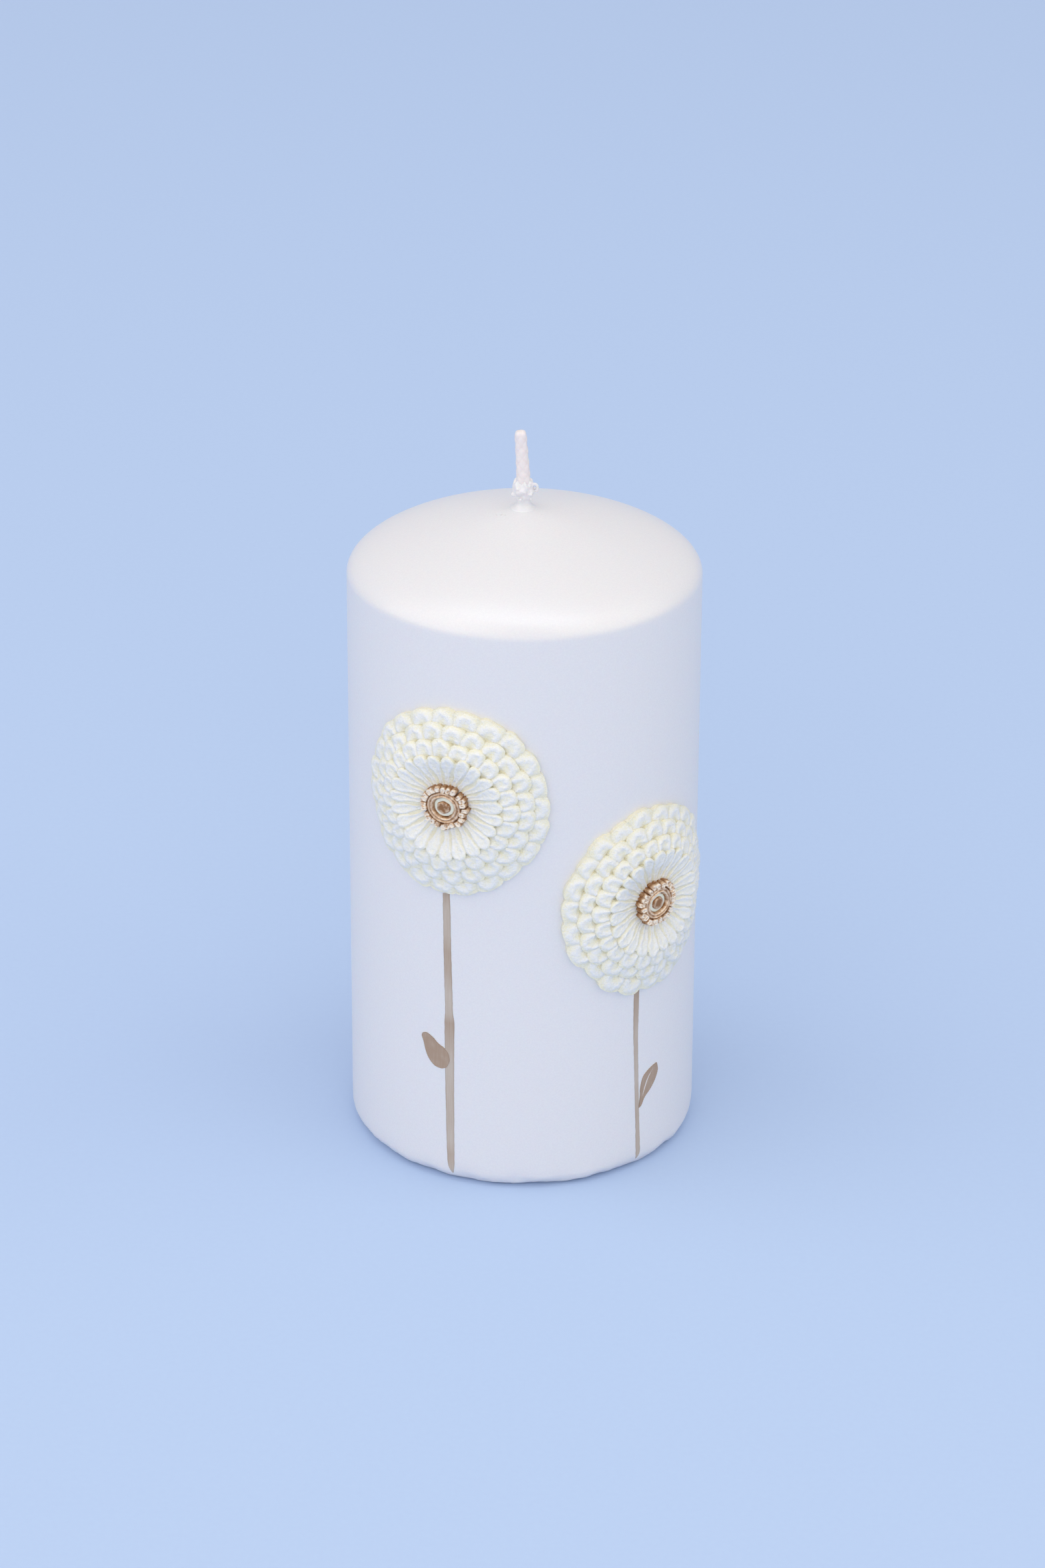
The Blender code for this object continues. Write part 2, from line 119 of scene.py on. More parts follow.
class CandleSizes(bpy.types.PropertyGroup):
    """Sizes that a maker would change without touching the frame."""

    lump_depth: bpy.props.FloatProperty(
        name="Lump depth", description="How far the dipped skin swells and sinks",
        default=0.03 * MM, unit="LENGTH", precision=5)
    lump_width: bpy.props.FloatProperty(
        name="Lump width", description="Breadth of one swelling of the skin",
        default=24.0 * MM, unit="LENGTH", precision=4)
    lip_depth: bpy.props.FloatProperty(
        name="Lip depth", description="How ragged the trimmed lower lip is",
        default=2.3 * MM, unit="LENGTH", precision=5)
    lip_width: bpy.props.FloatProperty(
        name="Lip width", description="Length of one nick in the lower lip",
        default=6.0 * MM, unit="LENGTH", precision=4)
    braid_pitch: bpy.props.FloatProperty(
        name="Braid pitch", description="Height of one crossing of the wick's braid",
        default=2.3 * MM, unit="LENGTH", precision=5)
    braid_depth: bpy.props.FloatProperty(
        name="Braid depth", description="How far the braid shows through its wax",
        default=0.11 * MM, unit="LENGTH", precision=5)
    flower_oval: bpy.props.FloatProperty(
        name="Flower oval", description="How much longer than wide a cast flower is, as a share",
        default=0.03, min=0.0, max=0.2)
    petal_warp: bpy.props.FloatProperty(
        name="Petal warp", description="How far a petal strays from its drawn outline",
        default=1.2 * MM, unit="LENGTH", precision=5)
    petal_bumps: bpy.props.FloatProperty(
        name="Petal bumps", description="Height of the brushed pearl wax on the petals",
        default=0.62 * MM, unit="LENGTH", precision=5)
    petal_count: bpy.props.IntProperty(
        name="Petals in a row", description="Petals in each row of a flower", default=23, min=5)
    floret_count: bpy.props.IntProperty(
        name="Florets", description="Florets in the crown round the gold ring", default=24, min=5)
    paint_depth: bpy.props.FloatProperty(
        name="Paint depth", description="Thickness of the brushed stems and leaves",
        default=0.06 * MM, unit="LENGTH", precision=5)


class CandleColours(bpy.types.PropertyGroup):
    """Colours of the candle's waxes and paints, the gold ones with painted shade and highlight in them."""

    pearl_wax: bpy.props.FloatVectorProperty(
        name="Pearl wax", description="The dipped pearl skin",
        subtype="COLOR", default=linear("#E4E3E6"))
    cream_wax: bpy.props.FloatVectorProperty(
        name="Cream wax", description="The flower wax where no pearl was brushed on",
        subtype="COLOR", default=linear("#EFE9C9"))
    brushed_pearl: bpy.props.FloatVectorProperty(
        name="Brushed pearl", description="The pearl brushed over raised petals",
        subtype="COLOR", default=linear("#EBECEE"))
    # Painted highlight: the gold as it shows lit, on edges and tops
    gold: bpy.props.FloatVectorProperty(
        name="Gold", description="The antique gold paint",
        subtype="COLOR", default=linear("#EACDAF"))
    # Painted shade: the darker gold painted into creases between florets and ridges, where shade falls
    gold_shadow: bpy.props.FloatVectorProperty(
        name="Gold shadow", description="The gold where it pools between florets",
        subtype="COLOR", default=linear("#9A6C44"))
    # Partly painted highlight: pale tops where gold is wiped off and where the light catches them
    wiped_pearl_and_painted_highlight: bpy.props.FloatVectorProperty(
        name="Worn pearl", description="Floret tops where the gold was wiped away",
        subtype="COLOR", default=linear("#F0E8DC"))
    ivory_wax: bpy.props.FloatVectorProperty(
        name="Ivory wax", description="The bare disc in a flower's middle",
        subtype="COLOR", default=linear("#F0EEE2"))
    stem_paint: bpy.props.FloatVectorProperty(
        name="Stem paint", description="Taupe paint where it is thin",
        subtype="COLOR", default=linear("#C4BAB0"))
    leaf_paint: bpy.props.FloatVectorProperty(
        name="Leaf paint", description="Taupe paint where it is thick",
        subtype="COLOR", default=linear("#A58D79"))
    wick_cotton: bpy.props.FloatVectorProperty(
        name="Wick cotton", description="The waxed cotton of the wick",
        subtype="COLOR", default=linear("#E9E2E3"))
    floor: bpy.props.FloatVectorProperty(
        name="Floor", description="The pale floor that the candle stands on",
        subtype="COLOR", default=linear("#B6CBED"))


# ---------------------------------------------------------------- helpers


def add_node(tree, kind, inputs=None, **settings):
    """Add a node, with its settings, and its inputs as values or as links from sockets."""
    made = tree.nodes.new(kind)
    for name, value in settings.items():
        setattr(made, name, value)
    for key, value in (inputs or {}).items():
        if isinstance(value, bpy.types.NodeSocket):
            tree.links.new(value, made.inputs[key])
        else:
            made.inputs[key].default_value = value
    return made


def new_tree(name, sockets):
    """An empty geometry tree with these named inputs, as (tree, input sockets by name)."""
    tree = bpy.data.node_groups.new(name, "GeometryNodeTree")
    tree.interface.new_socket("Geometry", in_out="INPUT", socket_type="NodeSocketGeometry")
    tree.interface.new_socket("Geometry", in_out="OUTPUT", socket_type="NodeSocketGeometry")
    for label, kind in sockets.items():
        tree.interface.new_socket(label, in_out="INPUT", socket_type="NodeSocket" + kind)
    entry = tree.nodes.new("NodeGroupInput")
    return tree, entry.outputs


def finish_tree(tree, geometry, material):
    """Every tree ends in plain smooth mesh with its material on."""
    real = add_node(tree, "GeometryNodeRealizeInstances", {"Geometry": geometry})
    smooth = add_node(tree, "GeometryNodeSetShadeSmooth", {"Geometry": real.outputs[0]})
    done = add_node(
        tree, "GeometryNodeSetMaterial", {"Geometry": smooth.outputs[0], "Material": material})
    add_node(tree, "NodeGroupOutput", {0: done.outputs[0]})


def grow(name, seed_mesh, tree, values):
    """Run a tree on a seed mesh and keep the result as one plain mesh object."""
    source = bpy.data.objects.new(name + "_source", seed_mesh)
    bpy.context.scene.collection.objects.link(source)
    modifier = source.modifiers.new(tree.name, "NODES")
    modifier.node_group = tree
    for item in tree.interface.items_tree:
        if item.in_out == "INPUT" and item.name in values:
            modifier[item.identifier] = values[item.name]
    graph = bpy.context.evaluated_depsgraph_get()
    grown = bpy.data.meshes.new_from_object(source.evaluated_get(graph))
    source.modifiers.remove(modifier)
    bpy.data.objects.remove(source)
    return place(name, grown)


def place(name, mesh, sharp_from=50.0):
    """Put a finished mesh into the scene with its faces pointing out and its creases sharp."""
    shape = bmesh.new()
    shape.from_mesh(mesh)
    bmesh.ops.recalc_face_normals(shape, faces=shape.faces)
    for face in shape.faces:
        face.smooth = True
    shape.to_mesh(mesh)
    shape.free()
    mesh.set_sharp_from_angle(angle=math.radians(sharp_from))
    mesh.name = name
    piece = bpy.data.objects.new(name, mesh)
    bpy.context.scene.collection.objects.link(piece)
    return piece


def settle(piece, material_slot, *nodes):
    """The piece stands for its CAD nodes and rides with the candle."""
    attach(piece, "root")
    if nodes:
        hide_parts(*nodes)


def named_mesh(name, points, faces, edges=(), **values):
    """A mesh with one float attribute per point for each named list of values."""
    mesh = bpy.data.meshes.new(name)
    mesh.from_pydata(points, edges, faces)
    for label, numbers in values.items():
        attribute = mesh.attributes.new(label, "FLOAT", "POINT")
        attribute.data.foreach_set("value", numbers)
    return mesh


def smooth_line(points, steps, closed=False):
    """Points read evenly from a smooth curve through these points, whatever they hold."""
    held = [np.array(point, float) for point in points]
    count = len(held)
    spans = count if closed else count - 1
    line = []
    for step in range(steps if closed else steps + 1):
        place_on = spans * step / steps
        span = min(int(place_on), spans - 1)
        t = place_on - span
        corners = []
        for offset in (-1, 0, 1, 2):
            index = span + offset
            corners.append(held[index % count] if closed else held[min(max(index, 0), count - 1)])
        a, b, c, d = corners
        bend = (2.0 * a - 5.0 * b + 4.0 * c - d) * t ** 2 + (3.0 * b - a - 3.0 * c + d) * t ** 3
        line.append(b + 0.5 * ((c - a) * t + bend))
    return line


def plate(name, top, low, **values):
    """Close a plate from a grid of (x, y, z) top points and one of undersides, edge to edge."""
    rows = len(top)
    columns = len(top[0])
    points = []
    for row in top:
        points += [tuple(point) for point in row]
    under_left = []
    under_right = []
    for row, depth_row in zip(top, low):
        for held, column in ((under_left, 0), (under_right, columns - 1)):
            held.append(len(points))
            points.append((row[column][0], row[column][1], depth_row[column]))
    first = [under_left[0]]
    last = [under_left[-1]]
    for held, row in ((first, 0), (last, rows - 1)):
        for column in range(1, columns - 1):
            held.append(len(points))
            points.append((top[row][column][0], top[row][column][1], low[row][column]))
    first.append(under_right[0])
    last.append(under_right[-1])
    faces = []
    for row in range(rows - 1):
        for column in range(columns - 1):
            here = row * columns + column
            faces.append((here, here + 1, here + columns + 1, here + columns))
        left = row * columns
        right = left + columns - 1
        faces.append((left, left + columns, under_left[row + 1], under_left[row]))
        faces.append((right, under_right[row], under_right[row + 1], right + columns))
        if 0 < row < rows - 2:
            faces.append((under_left[row], under_left[row + 1], under_right[row + 1], under_right[row]))
    for column in range(columns - 1):
        end = (rows - 1) * columns + column
        faces.append((column, first[column], first[column + 1], column + 1))
        faces.append((end, end + 1, last[column + 1], last[column]))
    faces.append((*first, under_right[1], under_left[1]))
    faces.append((*last, under_right[-2], under_left[-2]))
    for label, numbers in values.items():
        values[label] = list(numbers) + [0.0] * (len(points) - len(numbers))
    return named_mesh(name, points, faces, **values)


def middle_of(node):
    """The middle of a node's own points."""
    total = Vector((0.0, 0.0, 0.0))
    for vertex in NODES[node].data.vertices:
        total += vertex.co
    return total / len(NODES[node].data.vertices)


def stand_off(node):
    """The least and the most that a node stands off the pillar's side."""
    gaps = [math.hypot(v.co.x, v.co.y) - PILLAR_RADIUS for v in NODES[node].data.vertices]
    return min(gaps), max(gaps)


def half_height(node):
    low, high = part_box(node)
    return 0.5 * (high.z - low.z)


def flower_place(side):
    """Bearing round the pillar, from its front, and level of a flower's middle."""
    middle = middle_of(side + "_centre_dot")
    return math.atan2(middle.x, -middle.y), middle.z


def read_sizes():
    return bpy.context.scene.candle_sizes


def read_colours():
    return bpy.context.scene.candle_colours


# ---------------------------------------------------------------- materials


def new_material(name, colour, roughness, **sockets):
    """A Principled material with its plain values set on the shader's own sockets."""
    material = bpy.data.materials.new(name)
    material.use_nodes = True
    shader = material.node_tree.nodes["Principled BSDF"]
    shader.inputs["Base Color"].default_value = (*colour, 1.0)
    shader.inputs["Roughness"].default_value = roughness
    for label, value in sockets.items():
        shader.inputs[label.replace("_", " ")].default_value = value
    return material, material.node_tree, shader


def tint(colour, factor):
    """A colour with each channel scaled, as a socket value."""
    return (*(min(1.0, channel * share) for channel, share in zip(colour, factor)), 1.0)


def pearl_lacquered_wax():
    """Paraffin dipped in pearl lacquer: even and satiny, with fine mica flakes that sparkle as painted
    highlight specks.
    """
    colour = tuple(read_colours().pearl_wax)
    material, tree, shader = new_material(
        "pearl_lacquered_wax", colour, 0.35, Metallic=0.14, Specular_IOR_Level=0.25,
        Subsurface_Weight=0.12, Subsurface_Scale=1.2 * MM)
    place_in = add_node(tree, "ShaderNodeTexCoord").outputs["Object"]
    # Real flakes are far finer; these are as coarse as they need to be to show
    flake_size = 0.35 * MM
    flake_height = 0.003 * MM
    cloud_size = 30.0 * MM
    flakes = add_node(tree, "ShaderNodeTexNoise", {
        "Vector": place_in, "Scale": 1.0 / flake_size, "Detail": 2.0, "Roughness": 0.7})
    clouds = add_node(tree, "ShaderNodeTexNoise", {"Vector": place_in, "Scale": 1.0 / cloud_size})
    cloudy = add_node(tree, "ShaderNodeMix", {
        "Factor": clouds.outputs["Fac"], "A": tint(colour, (0.985, 0.985, 1.0)),
        "B": tint(colour, (1.0, 0.99, 1.0))}, data_type="RGBA")
    # Painted highlight: the flakes' sparkle is painted into the colour as lighter specks
    painted_glint = add_node(tree, "ShaderNodeMapRange", {
        "Value": flakes.outputs["Fac"], "From Min": 0.35, "From Max": 0.68, "To Min": 0.0, "To Max": 1.0})
    with_painted_flake_sparkle = add_node(tree, "ShaderNodeMix", {
        "Factor": painted_glint.outputs["Result"], "A": cloudy.outputs["Result"],
        "B": tint(colour, (1.03, 1.03, 1.03))}, data_type="RGBA")
    tree.links.new(with_painted_flake_sparkle.outputs["Result"], shader.inputs["Base Color"])
    gloss = add_node(tree, "ShaderNodeMapRange", {
        "Value": flakes.outputs["Fac"], "From Min": 0.3, "From Max": 0.7, "To Min": 0.38, "To Max": 0.32})
    tree.links.new(gloss.outputs["Result"], shader.inputs["Roughness"])
    bump = add_node(tree, "ShaderNodeBump", {
        "Height": flakes.outputs["Fac"], "Distance": flake_height, "Strength": 0.3})
    tree.links.new(bump.outputs[0], shader.inputs["Normal"])
    return material


def cast_wax(name, colour, grain_size, roughness):
    """Poured and cooled paraffin: dull, slightly mottled, with a soft grain."""
    material, tree, shader = new_material(
        name, colour, roughness, Subsurface_Weight=0.15, Subsurface_Scale=1.5 * MM)
    place_in = add_node(tree, "ShaderNodeTexCoord").outputs["Object"]
    grain_depth = 0.05 * MM
    mottle = add_node(tree, "ShaderNodeTexNoise", {
        "Vector": place_in, "Scale": 1.0 / grain_size, "Detail": 4.0})
    mottled = add_node(tree, "ShaderNodeMix", {
        "Factor": mottle.outputs["Fac"], "A": tint(colour, (0.93, 0.92, 0.9)),
        "B": tint(colour, (1.04, 1.04, 1.04))}, data_type="RGBA")
    tree.links.new(mottled.outputs["Result"], shader.inputs["Base Color"])
    bump = add_node(tree, "ShaderNodeBump", {
        "Height": mottle.outputs["Fac"], "Distance": grain_depth, "Strength": 0.6})
    tree.links.new(bump.outputs[0], shader.inputs["Normal"])
    return material


def pearl_brushed_petal_wax():
    """Cream casting wax with pearl brushed over it: cool white on what stands up, cream below."""
    colours = read_colours()
    cream = tuple(colours.cream_wax)
    pearl = tuple(colours.brushed_pearl)
    material, tree, shader = new_material(
        "pearl_brushed_petal_wax", cream, 0.4, Coat_Weight=0.2, Coat_Roughness=0.25,
        Subsurface_Weight=0.12, Subsurface_Scale=0.4 * MM)
    shader.inputs["Subsurface Radius"].default_value = (1.0, 0.85, 0.6)
    place_in = add_node(tree, "ShaderNodeTexCoord").outputs["Object"]
    raised = add_node(tree, "ShaderNodeAttribute", attribute_name=RAISED).outputs["Fac"]
    bristle_size = 0.6 * MM
    grain_size = 0.22 * MM
    frost_height = 0.28 * MM
    patches = add_node(tree, "ShaderNodeTexNoise", {
        "Vector": place_in, "Scale": 1.0 / bristle_size, "Detail": 3.0, "Roughness": 0.6})
    grains = add_node(tree, "ShaderNodeTexNoise", {
        "Vector": place_in, "Scale": 1.0 / grain_size, "Detail": 2.0, "Roughness": 0.7})
    patchy = add_node(tree, "ShaderNodeMapRange", {
        "Value": patches.outputs["Fac"], "From Min": 0.3, "From Max": 0.7, "To Min": -0.45, "To Max": 0.25})
    cover = add_node(
        tree, "ShaderNodeMath", {0: raised, 1: patchy.outputs["Result"]}, operation="ADD", use_clamp=True)
    brushed = add_node(tree, "ShaderNodeMix", {
        "Factor": cover.outputs[0], "A": (*cream, 1.0), "B": (*pearl, 1.0)}, data_type="RGBA")
    # Painted highlight: whiter specks in the colour stand in for the pearl pigment's glitter
    painted_glint = add_node(tree, "ShaderNodeMapRange", {
        "Value": grains.outputs["Fac"], "From Min": 0.35, "From Max": 0.7, "To Min": 0.0, "To Max": 0.6})
    with_painted_glitter = add_node(tree, "ShaderNodeMix", {
        "Factor": painted_glint.outputs["Result"], "A": brushed.outputs["Result"],
        "B": tint(pearl, (1.08, 1.08, 1.08))}, data_type="RGBA")
    tree.links.new(with_painted_glitter.outputs["Result"], shader.inputs["Base Color"])
    gloss = add_node(tree, "ShaderNodeMapRange", {
        "Value": cover.outputs[0], "From Min": 0.0, "From Max": 1.0, "To Min": 0.5, "To Max": 0.32})
    tree.links.new(gloss.outputs["Result"], shader.inputs["Roughness"])
    frost = add_node(tree, "ShaderNodeMath", {
        0: grains.outputs["Fac"], 1: 0.4, 2: patches.outputs["Fac"]}, operation="MULTIPLY_ADD")
    bump = add_node(tree, "ShaderNodeBump", {
        "Height": frost.outputs[0], "Distance": frost_height, "Strength": 0.9})
    tree.links.new(bump.outputs[0], shader.inputs["Normal"])
    return material


def antique_gold_paint(name, wiped):
    """Metallic paint dabbed over relief: brown in the creases as painted shade, bright on edges as
    painted highlight, and pale on top where it is wiped off and where a painted highlight falls.

    The share wiped off is counted from the highest places down; 0 or less leaves them all gilded.
    """
    colours = read_colours()
    material, tree, shader = new_material(name, tuple(colours.gold), 0.38, Metallic=0.45)
    place_in = add_node(tree, "ShaderNodeTexCoord").outputs["Object"]
    raised = add_node(tree, "ShaderNodeAttribute", attribute_name=RAISED).outputs["Fac"]
    dab_size = 0.7 * MM
    dab_height = 0.08 * MM
    dabs = add_node(tree, "ShaderNodeTexNoise", {
        "Vector": place_in, "Scale": 1.0 / dab_size, "Detail": 3.0, "Roughness": 0.6})
    uneven = add_node(tree, "ShaderNodeMapRange", {
        "Value": dabs.outputs["Fac"], "From Min": 0.3, "From Max": 0.7, "To Min": -0.5, "To Max": 0.5})
    height = add_node(
        tree, "ShaderNodeMath", {0: raised, 1: uneven.outputs["Result"]}, operation="ADD", use_clamp=True)
    # Painted shade and highlight: darker gold low in the creases, brighter gold on the edges
    gold_with_painted_shade_and_highlight = add_node(tree, "ShaderNodeMix", {
        "Factor": height.outputs[0], "A": (*colours.gold_shadow, 1.0), "B": (*colours.gold, 1.0)},
        data_type="RGBA")
    # Pale highest places: partly wiped gold, partly painted highlight
    bare = add_node(tree, "ShaderNodeMapRange", {
        "Value": height.outputs[0], "From Min": 1.0 - wiped, "From Max": 1.15 - wiped,
        "To Min": 0.0, "To Max": 0.85})
    worn = add_node(tree, "ShaderNodeMix", {
        "Factor": bare.outputs["Result"], "A": gold_with_painted_shade_and_highlight.outputs["Result"], "B": (*colours.wiped_pearl_and_painted_highlight, 1.0)},
        data_type="RGBA")
    metal = add_node(tree, "ShaderNodeMapRange", {
        "Value": bare.outputs["Result"], "From Min": 0.0, "From Max": 0.85, "To Min": 0.45, "To Max": 0.1})
    tree.links.new(worn.outputs["Result"], shader.inputs["Base Color"])
    tree.links.new(metal.outputs["Result"], shader.inputs["Metallic"])
    bump = add_node(tree, "ShaderNodeBump", {
        "Height": dabs.outputs["Fac"], "Distance": dab_height, "Strength": 0.8})
    tree.links.new(bump.outputs[0], shader.inputs["Normal"])
    return material


def brushed_taupe_paint():
    """Thinned acrylic drawn with one brush: see-through along the stroke, dark where it beads."""
    colours = read_colours()
    thin = tuple(colours.stem_paint)
    thick = tuple(colours.leaf_paint)
    material, tree, shader = new_material("brushed_taupe_paint", thin, 0.45, Coat_Weight=0.15)
    place_in = add_node(tree, "ShaderNodeTexCoord").outputs["Object"]
    load = add_node(tree, "ShaderNodeAttribute", attribute_name="load").outputs["Fac"]
    bead = add_node(tree, "ShaderNodeAttribute", attribute_name="bead").outputs["Fac"]
    bare = add_node(tree, "ShaderNodeAttribute", attribute_name="bare").outputs["Fac"]
    bristle_size = 0.25 * MM
    streak_height = 0.02 * MM
    # Streaks run up and down, many times longer than they are wide
    drawn = add_node(tree, "ShaderNodeMapping", {"Vector": place_in, "Scale": (1.0, 1.0, 0.06)})
    streaks = add_node(tree, "ShaderNodeTexNoise", {
        "Vector": drawn.outputs[0], "Scale": 1.0 / bristle_size, "Detail": 3.0})
    streaky = add_node(tree, "ShaderNodeMapRange", {
        "Value": streaks.outputs["Fac"], "From Min": 0.3, "From Max": 0.7, "To Min": -0.14, "To Max": 0.14})
    loaded = add_node(
        tree, "ShaderNodeMath", {0: load, 1: streaky.outputs["Result"]}, operation="ADD", use_clamp=True)
    body = add_node(tree, "ShaderNodeMix", {
        "Factor": loaded.outputs[0], "A": (*thin, 1.0), "B": (*thick, 1.0)}, data_type="RGBA")
    beaded = add_node(tree, "ShaderNodeMix", {
        "Factor": bead, "A": body.outputs["Result"], "B": tint(thick, (0.8, 0.78, 0.76))},
        data_type="RGBA")
    wax = add_node(tree, "ShaderNodeMix", {
        "Factor": bare, "A": beaded.outputs["Result"], "B": (*colours.pearl_wax, 1.0)}, data_type="RGBA")
    tree.links.new(wax.outputs["Result"], shader.inputs["Base Color"])
    bump = add_node(tree, "ShaderNodeBump", {
        "Height": streaks.outputs["Fac"], "Distance": streak_height, "Strength": 0.6})
    tree.links.new(bump.outputs[0], shader.inputs["Normal"])
    return material


def waxed_cotton():
    """Braided cotton soaked in wax: off-white yarn with a dull wax film, and painted shade where the braid
    sinks.
    """
    colour = tuple(read_colours().wick_cotton)
    material, tree, shader = new_material(
        "waxed_cotton_braid", colour, 0.5, Subsurface_Weight=0.1, Subsurface_Scale=0.5 * MM)
    place_in = add_node(tree, "ShaderNodeTexCoord").outputs["Object"]
    raised = add_node(tree, "ShaderNodeAttribute", attribute_name=RAISED).outputs["Fac"]
    fibre_size = 0.3 * MM
    fibre_height = 0.06 * MM
    fibres = add_node(tree, "ShaderNodeTexNoise", {
        "Vector": place_in, "Scale": 1.0 / fibre_size, "Detail": 4.0, "Roughness": 0.7})
    # Painted shade: the yarn's colour is darkened where the braid sinks between its strands
    painted_braid_shade = add_node(tree, "ShaderNodeMapRange", {
        "Value": raised, "From Min": 0.0, "From Max": 0.7, "To Min": 0.0, "To Max": 1.0})
    shaded = add_node(tree, "ShaderNodeMix", {
        "Factor": painted_braid_shade.outputs["Result"], "A": tint(colour, (0.9, 0.85, 0.86)),
        "B": (*colour, 1.0)}, data_type="RGBA")
    film = add_node(tree, "ShaderNodeMix", {
        "Factor": fibres.outputs["Fac"], "A": shaded.outputs["Result"],
        "B": tint(colour, (1.02, 1.02, 1.02))}, data_type="RGBA")
    tree.links.new(film.outputs["Result"], shader.inputs["Base Color"])
    bump = add_node(tree, "ShaderNodeBump", {
        "Height": fibres.outputs["Fac"], "Distance": fibre_height, "Strength": 0.7})
    tree.links.new(bump.outputs[0], shader.inputs["Normal"])
    return material


def tinplate():
    """Stamped tinned sheet: bright grey metal with rolling marks."""
    material, tree, shader = new_material("stamped_tinplate", linear("#C9C9CC"), 0.3, Metallic=1.0)
    place_in = add_node(tree, "ShaderNodeTexCoord").outputs["Object"]
    mark_size = 0.4 * MM
    rolled = add_node(tree, "ShaderNodeMapping", {"Vector": place_in, "Scale": (1.0, 0.05, 1.0)})
    marks = add_node(tree, "ShaderNodeTexNoise", {"Vector": rolled.outputs[0], "Scale": 1.0 / mark_size})
    gloss = add_node(tree, "ShaderNodeMapRange", {
        "Value": marks.outputs["Fac"], "From Min": 0.3, "From Max": 0.7, "To Min": 0.22, "To Max": 0.42})
    tree.links.new(gloss.outputs["Result"], shader.inputs["Roughness"])
    return material


def matte_board():
    """Painted board under the candle: flat, with a barely visible tooth."""
    colour = tuple(read_colours().floor)
    material, tree, shader = new_material("matte_board", colour, 0.9, Specular_IOR_Level=0.1)
    place_in = add_node(tree, "ShaderNodeTexCoord").outputs["Object"]
    tooth_size = 1.2 * MM
    tooth = add_node(tree, "ShaderNodeTexNoise", {"Vector": place_in, "Scale": 1.0 / tooth_size})
    toothed = add_node(tree, "ShaderNodeMix", {
        "Factor": tooth.outputs["Fac"], "A": tint(colour, (0.98, 0.98, 0.99)),
        "B": tint(colour, (1.02, 1.02, 1.01))}, data_type="RGBA")
    tree.links.new(toothed.outputs["Result"], shader.inputs["Base Color"])
    return material


# ---------------------------------------------------------------- laying flat work on the pillar


def wrap_group():
    """The shared group that lays flat work, drawn in x and y with z off the sheet, on the side."""
    name = "lay on pillar"
    if name in bpy.data.node_groups:
        return bpy.data.node_groups[name]
    tree, given = new_tree(name, {"Bearing": "Float", "Level": "Float", "Radius": "Float"})
    here = add_node(tree, "GeometryNodeInputPosition").outputs[0]
    parts = add_node(tree, "ShaderNodeSeparateXYZ", {0: here}).outputs
    turn = add_node(tree, "ShaderNodeMath", {0: parts["X"], 1: given["Radius"]}, operation="DIVIDE")
    angle = add_node(tree, "ShaderNodeMath", {0: turn.outputs[0], 1: given["Bearing"]}, operation="ADD")
    reach = add_node(tree, "ShaderNodeMath", {0: parts["Z"], 1: given["Radius"]}, operation="ADD")
    back = add_node(tree, "ShaderNodeMath", {0: reach.outputs[0], 1: -1.0}, operation="MULTIPLY")
    sine = add_node(tree, "ShaderNodeMath", {0: angle.outputs[0]}, operation="SINE")
    cosine = add_node(tree, "ShaderNodeMath", {0: angle.outputs[0]}, operation="COSINE")
    x = add_node(tree, "ShaderNodeMath", {0: reach.outputs[0], 1: sine.outputs[0]}, operation="MULTIPLY")
    y = add_node(tree, "ShaderNodeMath", {0: back.outputs[0], 1: cosine.outputs[0]}, operation="MULTIPLY")
    z = add_node(tree, "ShaderNodeMath", {0: parts["Y"], 1: given["Level"]}, operation="ADD")
    laid = add_node(tree, "ShaderNodeCombineXYZ", {0: x.outputs[0], 1: y.outputs[0], 2: z.outputs[0]})
    moved = add_node(tree, "GeometryNodeSetPosition", {
        "Geometry": given["Geometry"], "Position": laid.outputs[0]})
    add_node(tree, "NodeGroupOutput", {0: moved.outputs[0]})
    return tree


def add_wrap(tree, geometry, given):
    group = add_node(tree, "GeometryNodeGroup", node_tree=wrap_group())
    tree.links.new(geometry, group.inputs["Geometry"])
    for label in ("Bearing", "Level", "Radius"):
        tree.links.new(given[label], group.inputs[label])
    return group.outputs[0]


def laying_tree():
    """Roughen flat work a little, then lay it on the pillar."""
    name = "lay flat work"
    if name in bpy.data.node_groups:
        return bpy.data.node_groups[name]
    tree, given = new_tree(name, {
        "Roughness depth": "Float", "Roughness size": "Float", "Seed": "Float",
        "Bearing": "Float", "Level": "Float", "Radius": "Float", "Material": "Material"})
    scale = add_node(tree, "ShaderNodeMath", {0: 1.0, 1: given["Roughness size"]}, operation="DIVIDE")
    rough = add_node(tree, "ShaderNodeTexNoise", {
        "W": given["Seed"], "Scale": scale.outputs[0], "Detail": 2.0}, noise_dimensions="4D")
    centred = add_node(
        tree, "ShaderNodeVectorMath", {0: rough.outputs["Color"], 1: (0.5, 0.5, 0.5)},
        operation="SUBTRACT")
    shift = add_node(
        tree, "ShaderNodeVectorMath", {0: centred.outputs[0], "Scale": given["Roughness depth"]},
        operation="SCALE")
    moved = add_node(tree, "GeometryNodeSetPosition", {
        "Geometry": given["Geometry"], "Offset": shift.outputs[0]})
    finish_tree(tree, add_wrap(tree, moved.outputs[0], given), given["Material"])
    return tree


def lay(name, mesh, side, depth, size, seed, material):
    bearing, level = flower_place(side)
    return grow(name, mesh, laying_tree(), {
        "Roughness depth": depth, "Roughness size": size, "Seed": seed, "Bearing": bearing,
        "Level": level, "Radius": PILLAR_RADIUS, "Material": material})


# ---------------------------------------------------------------- pearl wax skin


